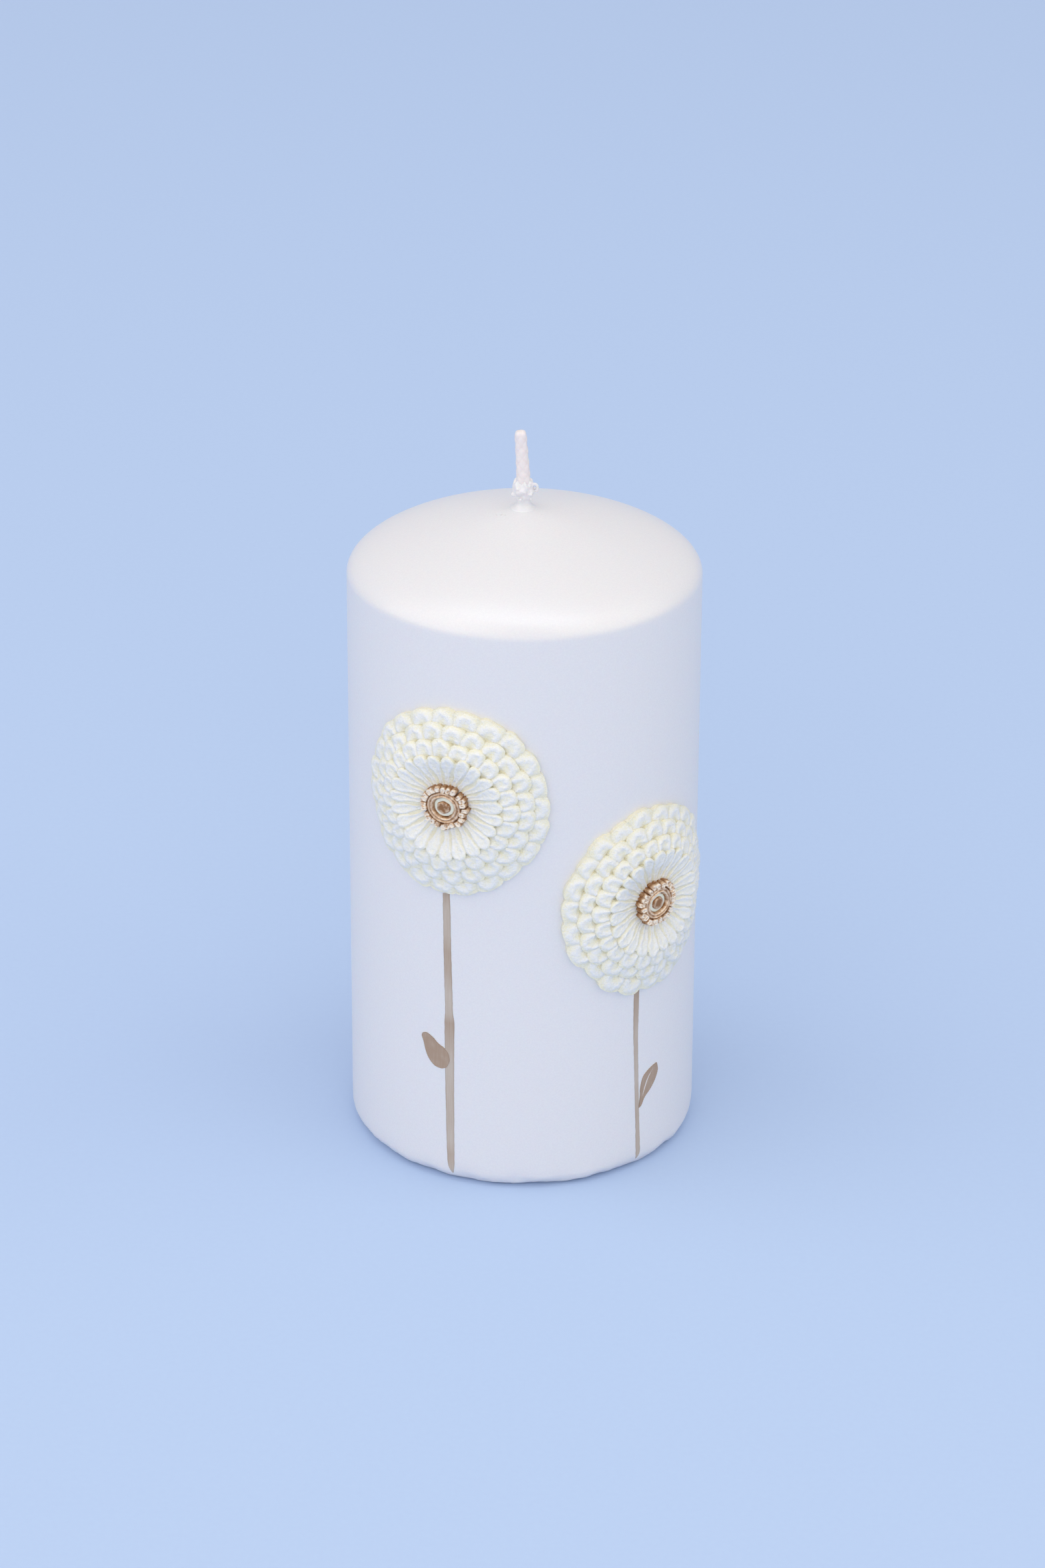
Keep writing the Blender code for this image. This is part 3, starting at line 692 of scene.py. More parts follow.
def shoulder_line(offset, steps):
    """The domed shoulder from the straight side to the wick, moved inwards by offset."""
    start = Vector((PILLAR_RADIUS, SHOULDER_LEVEL))
    lift = Vector((PILLAR_RADIUS, SHOULDER_LEVEL + SHOULDER_FULLNESS * SHOULDER_DROP))
    pull = Vector((SHOULDER_TOP_REACH * PILLAR_RADIUS, PILLAR_TOP))
    end = Vector((0.0, PILLAR_TOP))
    line = []
    for step in range(steps + 1):
        t = step / steps
        back = 1.0 - t
        point = back ** 3 * start + 3 * back ** 2 * t * lift + 3 * back * t ** 2 * pull + t ** 3 * end
        slope = back ** 2 * (lift - start) + 2 * back * t * (pull - lift) + t ** 2 * (end - pull)
        slope.normalize()
        place_at = point + offset * Vector((-slope.y, slope.x))
        if place_at.x > BORE_RADIUS:
            line.append((place_at.x, place_at.y))
    line.append((BORE_RADIUS, PILLAR_TOP - offset))
    return line


def base_line(radius, steps):
    """The rounded foot of the skin or of its inner wall, from under the base up to the side."""
    centre = PILLAR_RADIUS - BASE_ROUNDING
    line = []
    for step in range(steps + 1):
        angle = math.radians(-90.0 + 90.0 * step / steps)
        line.append((centre + radius * math.cos(angle), BASE_ROUNDING + radius * math.sin(angle)))
    return line


def skin_outline():
    """The skin's closed outline: foot, side and shoulder outside, then back down its inner face."""
    side_steps = 90
    outline = base_line(BASE_ROUNDING, 14)
    for step in range(1, side_steps):
        outline.append((PILLAR_RADIUS, mix(BASE_ROUNDING, SHOULDER_LEVEL, step / side_steps)))
    outline += shoulder_line(0.0, 56)
    outline += reversed(shoulder_line(SKIN_THICKNESS, 14))
    outline += reversed(base_line(BASE_ROUNDING - SKIN_THICKNESS, 4))
    foot = PILLAR_RADIUS - BASE_ROUNDING - SKIN_TURN_UNDER
    outline.append((foot, SKIN_THICKNESS))
    outline.append((foot, 0.0))
    return outline


def turned_skin_tree():
    """Turn an outline round the wick, then let the dipped wax swell, sink and fray at its lip."""
    tree, given = new_tree("turned skin", {
        "Bore radius": "Float", "Facets": "Int", "Lump depth": "Float", "Lump width": "Float",
        "Lip depth": "Float", "Lip width": "Float", "Lip height": "Float", "Material": "Material"})
    rail = add_node(tree, "GeometryNodeCurvePrimitiveCircle", {
        "Resolution": given["Facets"], "Radius": given["Bore radius"]})
    outline = add_node(tree, "GeometryNodeMeshToCurve", {0: given["Geometry"]})
    turned = add_node(tree, "GeometryNodeCurveToMesh", {
        "Curve": rail.outputs[0], "Profile Curve": outline.outputs[0]})
    here = add_node(tree, "GeometryNodeInputPosition").outputs[0]
    flat = add_node(tree, "ShaderNodeVectorMath", {0: here, 1: (1.0, 1.0, 0.0)}, operation="MULTIPLY")
    outwards = add_node(tree, "ShaderNodeVectorMath", {0: flat.outputs[0]}, operation="NORMALIZE")
    lump_scale = add_node(tree, "ShaderNodeMath", {0: 1.0, 1: given["Lump width"]}, operation="DIVIDE")
    lumps = add_node(tree, "ShaderNodeTexNoise", {"Scale": lump_scale.outputs[0], "Detail": 1.0})
    lumpy = add_node(tree, "ShaderNodeMath", {0: lumps.outputs["Fac"], 1: 0.5}, operation="SUBTRACT")
    swell = add_node(
        tree, "ShaderNodeMath", {0: lumpy.outputs[0], 1: given["Lump depth"]}, operation="MULTIPLY")
    height = add_node(tree, "ShaderNodeSeparateXYZ", {0: here}).outputs["Z"]
    near_lip = add_node(tree, "ShaderNodeMapRange", {
        "Value": height, "From Min": given["Lip height"], "From Max": 0.0, "To Min": 0.0, "To Max": 1.0},
        interpolation_type="SMOOTHSTEP")
    lip_scale = add_node(tree, "ShaderNodeMath", {0: 1.0, 1: given["Lip width"]}, operation="DIVIDE")
    nicks = add_node(tree, "ShaderNodeTexNoise", {
        "Scale": lip_scale.outputs[0], "Detail": 3.0, "Roughness": 0.55})
    nicked = add_node(tree, "ShaderNodeMath", {0: nicks.outputs["Fac"], 1: 0.62}, operation="SUBTRACT")
    deep = add_node(
        tree, "ShaderNodeMath", {0: nicked.outputs[0], 1: given["Lip depth"]}, operation="MULTIPLY")
    frayed = add_node(
        tree, "ShaderNodeMath", {0: deep.outputs[0], 1: near_lip.outputs["Result"]}, operation="MULTIPLY")
    amount = add_node(tree, "ShaderNodeMath", {0: swell.outputs[0], 1: frayed.outputs[0]}, operation="ADD")
    shift = add_node(
        tree, "ShaderNodeVectorMath", {0: outwards.outputs[0], "Scale": amount.outputs[0]},
        operation="SCALE")
    moved = add_node(tree, "GeometryNodeSetPosition", {
        "Geometry": turned.outputs[0], "Offset": shift.outputs[0]})
    finish_tree(tree, moved.outputs[0], given["Material"])
    return tree


def build_skin():
    sizes = read_sizes()
    outline = skin_outline()
    # The circle that turns the outline runs clockwise seen from its own side, so heights are negated
    points = [(reach - BORE_RADIUS, -height, 0.0) for reach, height in outline]
    edges = [(index, (index + 1) % len(points)) for index in range(len(points))]
    seed = named_mesh("skin_outline", points, [], edges)
    piece = grow("pearl_wax_skin", seed, turned_skin_tree(), {
        "Bore radius": BORE_RADIUS, "Facets": 256, "Lump depth": sizes.lump_depth,
        "Lump width": sizes.lump_width, "Lip depth": sizes.lip_depth, "Lip width": sizes.lip_width,
        "Lip height": 4.0 * MM, "Material": pearl_lacquered_wax()})
    settle(piece, "pearl_wax", "pearl_wax_overdip")


# ---------------------------------------------------------------- wick


def wick_path():
    """The wick's centre line with its girth: straight in the bore, then leaning to its cut tip."""
    tip = [v.co.x for v in NODES["wick"].data.vertices if v.co.z > WICK_TIP - 0.1 * MM]
    tip_lean = sum(tip) / len(tip)
    bore_girth = 1.25 * MM
    collar_girth = 1.5 * MM
    tip_girth = 1.17 * MM
    tip_wear = 0.45 * MM
    tip_rounding = 0.9 * MM
    swell_from = PILLAR_TOP + 1.2 * MM
    swell_to = PILLAR_TOP + 3.2 * MM
    visible_tip = WICK_TIP - tip_wear
    free = visible_tip - PILLAR_TOP
    levels = [WICK_FOOT, 0.5 * PILLAR_TOP, PILLAR_TOP - 2.0 * MM]
    steps = 110
    for step in range(steps + 1):
        levels.append(PILLAR_TOP + free * step / steps)
    points = []
    girths = []
    for level in levels:
        rise = max(0.0, (level - COLLAR_TOP) / (visible_tip - COLLAR_TOP))
        entry = WICK_OFFSET * ease_between(PILLAR_TOP - 1.0 * MM, PILLAR_TOP, level)
        points.append((entry + tip_lean * rise ** 1.2, 0.0, level))
        taper = min(1.0, 1.25 * max(0.0, (level - PILLAR_TOP) / free))
        girth = bore_girth if level < PILLAR_TOP else mix(collar_girth, tip_girth, taper)
        girth = min(girth, mix(bore_girth, collar_girth, ease_between(swell_from, swell_to, level)))
        from_tip = (visible_tip - level) / tip_rounding
        if from_tip < 1.0:
            girth *= 0.45 + 0.55 * math.sqrt(max(0.0, 1.0 - (1.0 - from_tip) ** 2))
        girths.append(girth)
    edges = [(index, index + 1) for index in range(len(points) - 1)]
    return named_mesh("wick_line", points, [], edges, girth=girths)


def braided_wick_tree():
    """Sweep a round along the wick and press the braid's crossings into it."""
    tree, given = new_tree("braided wick", {
        "Braid pitch": "Float", "Braid depth": "Float", "Strands": "Float", "Facets": "Int",
        "Wax depth": "Float", "Wax size": "Float", "Material": "Material"})
    girth = add_node(tree, "GeometryNodeInputNamedAttribute", {"Name": "girth"}).outputs["Attribute"]
    line = add_node(tree, "GeometryNodeMeshToCurve", {0: given["Geometry"]})
    along = add_node(tree, "GeometryNodeSplineParameter").outputs["Length"]
    marked = add_node(tree, "GeometryNodeStoreNamedAttribute", {
        "Geometry": line.outputs[0], "Name": "along", "Value": along})
    ring = add_node(tree, "GeometryNodeCurvePrimitiveCircle", {
        "Resolution": given["Facets"], "Radius": 1.0})
    round_factor = add_node(tree, "GeometryNodeSplineParameter").outputs["Factor"]
    ring_marked = add_node(tree, "GeometryNodeStoreNamedAttribute", {
        "Geometry": ring.outputs[0], "Name": "around", "Value": round_factor})
    swept = add_node(tree, "GeometryNodeCurveToMesh", {
        "Curve": marked.outputs[0], "Profile Curve": ring_marked.outputs[0], "Scale": girth,
        "Fill Caps": True})
    length = add_node(tree, "GeometryNodeInputNamedAttribute", {"Name": "along"}).outputs["Attribute"]
    turn = add_node(tree, "GeometryNodeInputNamedAttribute", {"Name": "around"}).outputs["Attribute"]
    strand_turns = add_node(
        tree, "ShaderNodeMath", {0: given["Strands"], 1: math.pi}, operation="MULTIPLY")
    across = add_node(
        tree, "ShaderNodeMath", {0: turn, 1: strand_turns.outputs[0]}, operation="MULTIPLY")
    pitches = add_node(tree, "ShaderNodeMath", {0: length, 1: given["Braid pitch"]}, operation="DIVIDE")
    up = add_node(tree, "ShaderNodeMath", {0: pitches.outputs[0], 1: math.pi}, operation="MULTIPLY")
    one_way = add_node(
        tree, "ShaderNodeMath", {0: across.outputs[0], 1: up.outputs[0]}, operation="ADD")
    other_way = add_node(
        tree, "ShaderNodeMath", {0: across.outputs[0], 1: up.outputs[0]}, operation="SUBTRACT")
    first = add_node(tree, "ShaderNodeMath", {0: one_way.outputs[0]}, operation="COSINE")
    second = add_node(tree, "ShaderNodeMath", {0: other_way.outputs[0]}, operation="COSINE")
    crossing = add_node(
        tree, "ShaderNodeMath", {0: first.outputs[0], 1: second.outputs[0]}, operation="MULTIPLY")
    pillow = add_node(tree, "ShaderNodeMath", {0: crossing.outputs[0]}, operation="ABSOLUTE")
    rounded = add_node(tree, "ShaderNodeMath", {0: pillow.outputs[0], 1: 0.45}, operation="POWER")
    # The braid's height is kept so that shade can be painted into its low places
    seen = add_node(tree, "GeometryNodeStoreNamedAttribute", {
        "Geometry": swept.outputs[0], "Name": RAISED, "Value": rounded.outputs[0]})
    lowered = add_node(tree, "ShaderNodeMath", {0: rounded.outputs[0], 1: 0.75}, operation="SUBTRACT")
    relief = add_node(
        tree, "ShaderNodeMath", {0: lowered.outputs[0], 1: given["Braid depth"]}, operation="MULTIPLY")
    wax_scale = add_node(tree, "ShaderNodeMath", {0: 1.0, 1: given["Wax size"]}, operation="DIVIDE")
    wax = add_node(tree, "ShaderNodeTexNoise", {"Scale": wax_scale.outputs[0], "Detail": 2.0})
    wax_centred = add_node(tree, "ShaderNodeMath", {0: wax.outputs["Fac"], 1: 0.5}, operation="SUBTRACT")
    coated = add_node(
        tree, "ShaderNodeMath", {0: wax_centred.outputs[0], 1: given["Wax depth"]}, operation="MULTIPLY")
    amount = add_node(tree, "ShaderNodeMath", {0: relief.outputs[0], 1: coated.outputs[0]}, operation="ADD")
    normal = add_node(tree, "GeometryNodeInputNormal").outputs[0]
    shift = add_node(
        tree, "ShaderNodeVectorMath", {0: normal, "Scale": amount.outputs[0]}, operation="SCALE")
    moved = add_node(tree, "GeometryNodeSetPosition", {
        "Geometry": seen.outputs[0], "Offset": shift.outputs[0]})
    finish_tree(tree, moved.outputs[0], given["Material"])
    return tree


def build_wick():
    sizes = read_sizes()
    piece = grow("braided_wick", wick_path(), braided_wick_tree(), {
        "Braid pitch": sizes.braid_pitch, "Braid depth": sizes.braid_depth, "Strands": 4.0,
        "Facets": 48, "Wax depth": 0.22 * MM, "Wax size": 1.1 * MM, "Material": waxed_cotton()})
    settle(piece, "waxed_cotton", "wick")


# ---------------------------------------------------------------- wax collar round the wick

# All in millimetres, with heights above the top of the pillar
COLLAR_BORE = 1.15
COLLAR_OUTLINE = (
    (COLLAR_BORE, -0.8), (2.5, -0.8), (2.5, -0.46), (2.1, -0.2), (1.75, 0.05), (1.52, 0.35),
    (1.4, 0.7), (1.38, 1.1), (1.5, 1.6), (1.78, 2.1), (1.97, 2.6), (2.04, 3.1), (1.98, 3.7),
    (1.84, 4.3), (1.66, 4.7), (COLLAR_BORE, 4.8), (COLLAR_BORE, 2.0),
)
# Lumps on the collar: where they sit and how big they are
DRIPS = (
    ((-1.95, -0.7, 2.5), 0.5), ((1.2, -1.55, 2.9), 0.55), ((0.2, -1.9, 3.4), 0.42),
    ((-1.1, -1.6, 3.9), 0.4), ((1.35, -0.85, 1.6), 0.35), ((-0.6, -1.85, 1.9), 0.35),
    ((1.9, 0.9, 3.1), 0.5), ((-1.6, 1.3, 3.2), 0.5), ((0.3, 1.95, 2.6), 0.45),
)
# Crumbs spilt on the shoulder beside it
CRUMBS = (
    ((-4.3, -2.4), 0.2), ((-5.3, -2.2), 0.14), ((-3.5, -2.9), 0.16), ((-6.4, -2.3), 0.11),
    ((-7.0, -2.1), 0.12), ((3.4, -2.6), 0.15), ((4.1, -1.9), 0.1),
)


def add_ring_body(shape, outline, columns, wander):
    """Turn an outline of (reach, height) about the wick, each point shifted by wander(angle, height)."""
    rings = []
    for reach, height in outline:
        ring = []
        for column in range(columns):
            angle = FULL_TURN * column / columns
            out, up = wander(angle, height)
            ring.append(shape.verts.new((
                (reach + out) * math.cos(angle), (reach + out) * math.sin(angle), height + up)))
        rings.append(ring)
    for row, ring in enumerate(rings):
        following = rings[(row + 1) % len(rings)]
        for column in range(columns):
            after = (column + 1) % columns
            shape.faces.new((ring[column], ring[after], following[after], following[column]))


def add_tube(shape, path, radii, sides=10):
    """A closed round tube through path with a radius at each point."""
    rings = []
    for index, point in enumerate(path):
        before = path[max(0, index - 1)]
        after = path[min(len(path) - 1, index + 1)]
        turn = (Vector(after) - Vector(before)).to_track_quat("Z", "X")
        ring = []
        for side in range(sides):
            angle = FULL_TURN * side / sides
            offset = turn @ Vector((radii[index] * math.cos(angle), radii[index] * math.sin(angle), 0.0))
            ring.append(shape.verts.new(Vector(point) + offset))
        rings.append(ring)
    for ring, following in zip(rings, rings[1:]):
        for side in range(sides):
            after = (side + 1) % sides
            shape.faces.new((ring[side], ring[after], following[after], following[side]))
    shape.faces.new(list(reversed(rings[0])))
    shape.faces.new(rings[-1])


def add_crumb(shape, centre, radius, seed):
    """A small lump of spilt wax."""
    made = bmesh.ops.create_icosphere(shape, subdivisions=2, radius=radius)
    for vertex in made["verts"]:
        vertex.co *= 1.0 + 0.35 * noise.noise(vertex.co / radius + Vector((seed, 0.0, 0.0)))
        vertex.co.z *= 0.7
        vertex.co += Vector(centre)


def add_curl(shape, base):
    """The thin flap of wax that stands off the collar's right side."""
    middle_reach = 2.1 * MM
    middle_level = base + 3.75 * MM
    forward = -0.35 * MM
    half_width = 0.55 * MM
    half_rise = 0.8 * MM
    thickest = 0.36 * MM
    steps = 12
    path = []
    radii = []
    for step in range(steps + 1):
        share = step / steps
        angle = math.radians(-70.0 + 285.0 * share)
        path.append((
            middle_reach + half_width * math.cos(angle), forward + forward * share,
            middle_level + half_rise * math.sin(angle)))
        radii.append(thickest * (1.0 - 0.35 * share))
    add_tube(shape, path, radii)


def melt_together(shape, voxel, softening):
    """Fuse the overlapping lumps of wax into one skin."""
    mesh = bpy.data.meshes.new("wick_collar_seed")
    shape.to_mesh(mesh)
    shape.free()
    source = bpy.data.objects.new("wick_collar_source", mesh)
    bpy.context.scene.collection.objects.link(source)
    melted = source.modifiers.new("melted", "REMESH")
    melted.mode = "VOXEL"
    melted.voxel_size = voxel
    softened = source.modifiers.new("softened", "SMOOTH")
    softened.factor = 0.5
    softened.iterations = softening
    graph = bpy.context.evaluated_depsgraph_get()
    joined = bpy.data.meshes.new_from_object(source.evaluated_get(graph))
    bpy.data.objects.remove(source)
    return joined


def build_collar():
    """The ragged sleeve of dip wax that climbs the wick, with a curl and spilt crumbs."""
    shape = bmesh.new()
    base = PILLAR_TOP
    lump_depth = 0.42 * MM
    crest_depth = 1.0 * MM

    def wander(angle, height):
        rise = ease_between(base + 0.3 * MM, base + 2.0 * MM, height)
        crest = ease_between(base + 3.4 * MM, base + 4.6 * MM, height)
        spot = Vector((1.1 * math.cos(angle), 1.1 * math.sin(angle), height / (1.6 * MM)))
        out = lump_depth * rise * noise.noise(spot * 1.6 + Vector((3.1, 0.0, 0.0)))
        around_crest = Vector((1.7 * math.cos(angle), 1.7 * math.sin(angle), 7.0))
        return out, crest_depth * crest * noise.noise(around_crest)

    outline = [(reach * MM, base + height * MM) for reach, height in COLLAR_OUTLINE]
    add_ring_body(shape, smooth_line(outline, 90, closed=True), 72, wander)
    add_curl(shape, base)
    for number, ((x, y, z), radius) in enumerate(DRIPS):
        add_crumb(shape, (x * MM, y * MM, base + z * MM), radius * MM, number * 1.7)
    for number, ((x, y), radius) in enumerate(CRUMBS):
        level = shoulder_level(math.hypot(x, y) * MM)
        add_crumb(shape, (x * MM, y * MM, level + 0.3 * radius * MM), radius * MM, 9.0 + number * 2.3)
    joined = melt_together(shape, voxel=0.09 * MM, softening=3)
    joined.materials.clear()
    joined.materials.append(bpy.data.materials["pearl_lacquered_wax"])
    # The collar stays round the wick, a little left of the middle; the far crumbs don't move
    for vertex in joined.vertices:
        vertex.co.x += WICK_OFFSET * ease_between(8.0 * MM, 2.5 * MM, abs(vertex.co.x))
    piece = place("wick_collar", joined, sharp_from=80.0)
    settle(piece, "pearl_wax", "wick_wax_collar")


def shoulder_level(reach):
    """Height of the shoulder above a circle of this radius."""
    line = shoulder_line(0.0, 200)
    for near, far in zip(line, line[1:]):
        if far[0] <= reach <= near[0]:
            return mix(near[1], far[1], (near[0] - reach) / max(1e-9, near[0] - far[0]))
    return PILLAR_TOP


# ---------------------------------------------------------------- cast flowers


# Across a petal, as shares of its half width from its edge inwards: where its side climbs, where
# the brushed rim stands and where the hollow behind the rim lies
SIDE_FROM = -0.12
SIDE_TO = 0.38
RIM_AT = 0.36
RIM_SPREAD = 0.2
HOLLOW_FROM = 0.45
HOLLOW_TO = 0.95
# How far inwards from its tip a petal rises, and how steeply it then dives under the next row
CLIMB_LENGTH = 2.5 * MM
DIVE_SLOPE = 0.45

def relief_seed(name, relief, count, overlap):
    """One petal or floret as a closed plate along +X, its outline and rim standing off the sheet."""
    half_sector = 0.5 * FULL_TURN / count * overlap
    head_from = relief.tip - relief.head
    top = []
    low = []
    raised = []
    for row in range(relief.along + 1):
        share = row / relief.along
        top_row = []
        low_row = []
        for column in range(relief.across + 1):
            angle = half_sector * (2.0 * column / relief.across - 1.0)
            lateral_tip = abs(relief.tip * math.sin(angle))
            bulge = math.sqrt(max(0.0, 1.0 - min(1.0, lateral_tip / relief.head) ** 2))
            edge = relief.tip - relief.notch * (1.0 - bulge)
            reach = mix(relief.root, edge, share)
            x = reach * math.cos(angle)
            y = reach * math.sin(angle)
            widens = ease_between(relief.waist_from, relief.waist_to, reach)
            half_width = mix(relief.neck, relief.head, widens)
            beside = half_width - abs(y)
            if reach > head_from:
                out = min(1.0, math.hypot((reach - head_from) / relief.head, y / relief.head))
                beside = min(beside, (1.0 - out) * relief.head)
            if relief.round_root:
                beside = min(beside, reach - relief.root)
            depth = beside / half_width
            stands = ease_between(SIDE_FROM, SIDE_TO, depth)
            rim = math.exp(-((depth - RIM_AT) / RIM_SPREAD) ** 2)
            hollow = ease_between(HOLLOW_FROM, HOLLOW_TO, depth)
            height = mix(relief.valley, relief.top, stands) + relief.rim * rim - relief.cup * hollow
            inwards = edge - reach
            if relief.climb > 0.0:
                height += relief.climb * min(inwards, CLIMB_LENGTH)
                height -= DIVE_SLOPE * max(0.0, inwards - CLIMB_LENGTH)
            top_row.append((x, y, height))
            low_row.append(mix(relief.low[0], relief.low[1], ease_between(0.45, 0.8, share)))
            raised.append(min(1.0, stands * (1.0 - relief.undercut * hollow)))
        top.append(top_row)
        low.append(low_row)
    return plate(name, top, low, **{RAISED: raised})


def flower_row_tree():
    """Set one petal round a circle, each a little different, warp the row and lay it on the side."""
    name = "flower row"
    if name in bpy.data.node_groups:
        return bpy.data.node_groups[name]
    tree, given = new_tree(name, {
        "Count": "Int", "Stagger": "Float", "Turn variation": "Float", "Size variation": "Float",
        "Warp": "Float", "Warp size": "Float", "Bumps": "Float", "Bump size": "Float",
        "Dish start": "Float", "Dish end": "Float", "Dish depth": "Float",
        "Oval": "Float", "Oval direction": "Vector", "Seed": "Int",
        "Bearing": "Float", "Level": "Float", "Radius": "Float", "Material": "Material"})
    spots = add_node(tree, "GeometryNodePoints", {"Count": given["Count"]})
    index = add_node(tree, "GeometryNodeInputIndex").outputs[0]
    staggered = add_node(tree, "ShaderNodeMath", {0: index, 1: given["Stagger"]}, operation="ADD")
    step = add_node(tree, "ShaderNodeMath", {0: FULL_TURN, 1: given["Count"]}, operation="DIVIDE")
    even = add_node(
        tree, "ShaderNodeMath", {0: staggered.outputs[0], 1: step.outputs[0]}, operation="MULTIPLY")
    less = add_node(tree, "ShaderNodeMath", {0: given["Turn variation"], 1: -1.0}, operation="MULTIPLY")
    stray = add_node(tree, "FunctionNodeRandomValue", {
        2: less.outputs[0], 3: given["Turn variation"], "Seed": given["Seed"]}, data_type="FLOAT")
    turn = add_node(tree, "ShaderNodeMath", {0: even.outputs[0], 1: stray.outputs[1]}, operation="ADD")
    turned = add_node(tree, "ShaderNodeCombineXYZ", {2: turn.outputs[0]})
    smallest = add_node(tree, "ShaderNodeMath", {0: 1.0, 1: given["Size variation"]}, operation="SUBTRACT")
    largest = add_node(tree, "ShaderNodeMath", {0: 1.0, 1: given["Size variation"]}, operation="ADD")
    other_seed = add_node(tree, "ShaderNodeMath", {0: given["Seed"], 1: 7.0}, operation="ADD")
    reach_scale = add_node(tree, "FunctionNodeRandomValue", {
        2: smallest.outputs[0], 3: largest.outputs[0], "Seed": other_seed.outputs[0]}, data_type="FLOAT")
    rise_seed = add_node(tree, "ShaderNodeMath", {0: given["Seed"], 1: 13.0}, operation="ADD")
    rise_scale = add_node(tree, "FunctionNodeRandomValue", {
        2: smallest.outputs[0], 3: largest.outputs[0], "Seed": rise_seed.outputs[0]}, data_type="FLOAT")
    scale = add_node(tree, "ShaderNodeCombineXYZ", {
        0: reach_scale.outputs[1], 1: 1.0, 2: rise_scale.outputs[1]})
    set_round = add_node(tree, "GeometryNodeInstanceOnPoints", {
        "Points": spots.outputs[0], "Instance": given["Geometry"], "Rotation": turned.outputs[0],
        "Scale": scale.outputs[0]})
    real = add_node(tree, "GeometryNodeRealizeInstances", {0: set_round.outputs[0]})

    warp_scale = add_node(tree, "ShaderNodeMath", {0: 1.0, 1: given["Warp size"]}, operation="DIVIDE")
    warp = add_node(tree, "ShaderNodeTexNoise", {
        "W": given["Seed"], "Scale": warp_scale.outputs[0], "Detail": 1.0}, noise_dimensions="4D")
    warp_centred = add_node(
        tree, "ShaderNodeVectorMath", {0: warp.outputs["Color"], 1: (0.5, 0.5, 0.5)},
        operation="SUBTRACT")
    warp_by = add_node(
        tree, "ShaderNodeVectorMath", {0: warp_centred.outputs[0], "Scale": given["Warp"]},
        operation="SCALE")
    in_sheet = add_node(
        tree, "ShaderNodeVectorMath", {0: warp_by.outputs[0], 1: (1.0, 1.0, 0.35)}, operation="MULTIPLY")
    warped = add_node(tree, "GeometryNodeSetPosition", {
        "Geometry": real.outputs[0], "Offset": in_sheet.outputs[0]})

    bump_scale = add_node(tree, "ShaderNodeMath", {0: 1.0, 1: given["Bump size"]}, operation="DIVIDE")
    bumps = add_node(tree, "ShaderNodeTexNoise", {
        "W": given["Seed"], "Scale": bump_scale.outputs[0], "Detail": 2.0, "Roughness": 0.6},
        noise_dimensions="4D")
    bumpy = add_node(tree, "ShaderNodeMath", {0: bumps.outputs["Fac"], 1: 0.5}, operation="SUBTRACT")
    brushed = add_node(tree, "GeometryNodeInputNamedAttribute", {"Name": RAISED}).outputs["Attribute"]
    on_raised = add_node(tree, "ShaderNodeMath", {0: bumpy.outputs[0], 1: brushed}, operation="MULTIPLY")
    bump_by = add_node(
        tree, "ShaderNodeMath", {0: on_raised.outputs[0], 1: given["Bumps"]}, operation="MULTIPLY")
    here = add_node(tree, "GeometryNodeInputPosition").outputs[0]
    flat = add_node(tree, "ShaderNodeVectorMath", {0: here, 1: (1.0, 1.0, 0.0)}, operation="MULTIPLY")
    reach = add_node(tree, "ShaderNodeVectorMath", {0: flat.outputs[0]}, operation="LENGTH")
    dished = add_node(tree, "ShaderNodeMapRange", {
        "Value": reach.outputs["Value"], "From Min": given["Dish start"], "From Max": given["Dish end"],
        "To Min": given["Dish depth"], "To Max": 0.0}, interpolation_type="SMOOTHSTEP")
    drop = add_node(
        tree, "ShaderNodeMath", {0: bump_by.outputs[0], 1: dished.outputs["Result"]}, operation="SUBTRACT")
    lengthwise = add_node(
        tree, "ShaderNodeVectorMath", {0: here, 1: given["Oval direction"]}, operation="DOT_PRODUCT")
    stretch = add_node(
        tree, "ShaderNodeMath", {0: lengthwise.outputs["Value"], 1: given["Oval"]}, operation="MULTIPLY")
    stretched = add_node(
        tree, "ShaderNodeVectorMath", {0: given["Oval direction"], "Scale": stretch.outputs[0]},
        operation="SCALE")
    lifted = add_node(tree, "ShaderNodeCombineXYZ", {2: drop.outputs[0]})
    shift = add_node(
        tree, "ShaderNodeVectorMath", {0: stretched.outputs[0], 1: lifted.outputs[0]}, operation="ADD")
    shaped = add_node(tree, "GeometryNodeSetPosition", {
        "Geometry": warped.outputs[0], "Offset": shift.outputs[0]})
    finish_tree(tree, add_wrap(tree, shaped.outputs[0], given), given["Material"])
    return tree


# Which way each flower is a little longer, in degrees from its right
OVAL_DIRECTION = {"left": 58.0, "right": 122.0}

# Each row from the outer one inwards: half width of a petal's head, depth of the groove beside
# it, depth of the notch between two tips, depth of the hollow in the head, and how much less
# pearl is brushed into that hollow
RowShape = namedtuple("RowShape", "head groove notch cup undercut")
ROW_SHAPES = (
    RowShape(2.55 * MM, 0.28 * MM, 0.7 * MM, 0.16 * MM, 0.75),
    RowShape(2.2 * MM, 0.3 * MM, 0.95 * MM, 0.22 * MM, 0.8),
    RowShape(1.8 * MM, 0.3 * MM, 1.05 * MM, 0.16 * MM, 0.55),
    RowShape(1.3 * MM, 0.2 * MM, 1.15 * MM, 0.05 * MM, 0.3),
)
INNER_ROOT = 1.7 * MM
INNER_NECK = 0.5 * MM
TUCK_UNDER = 3.4 * MM
SUNK_IN_PAD = -0.12 * MM


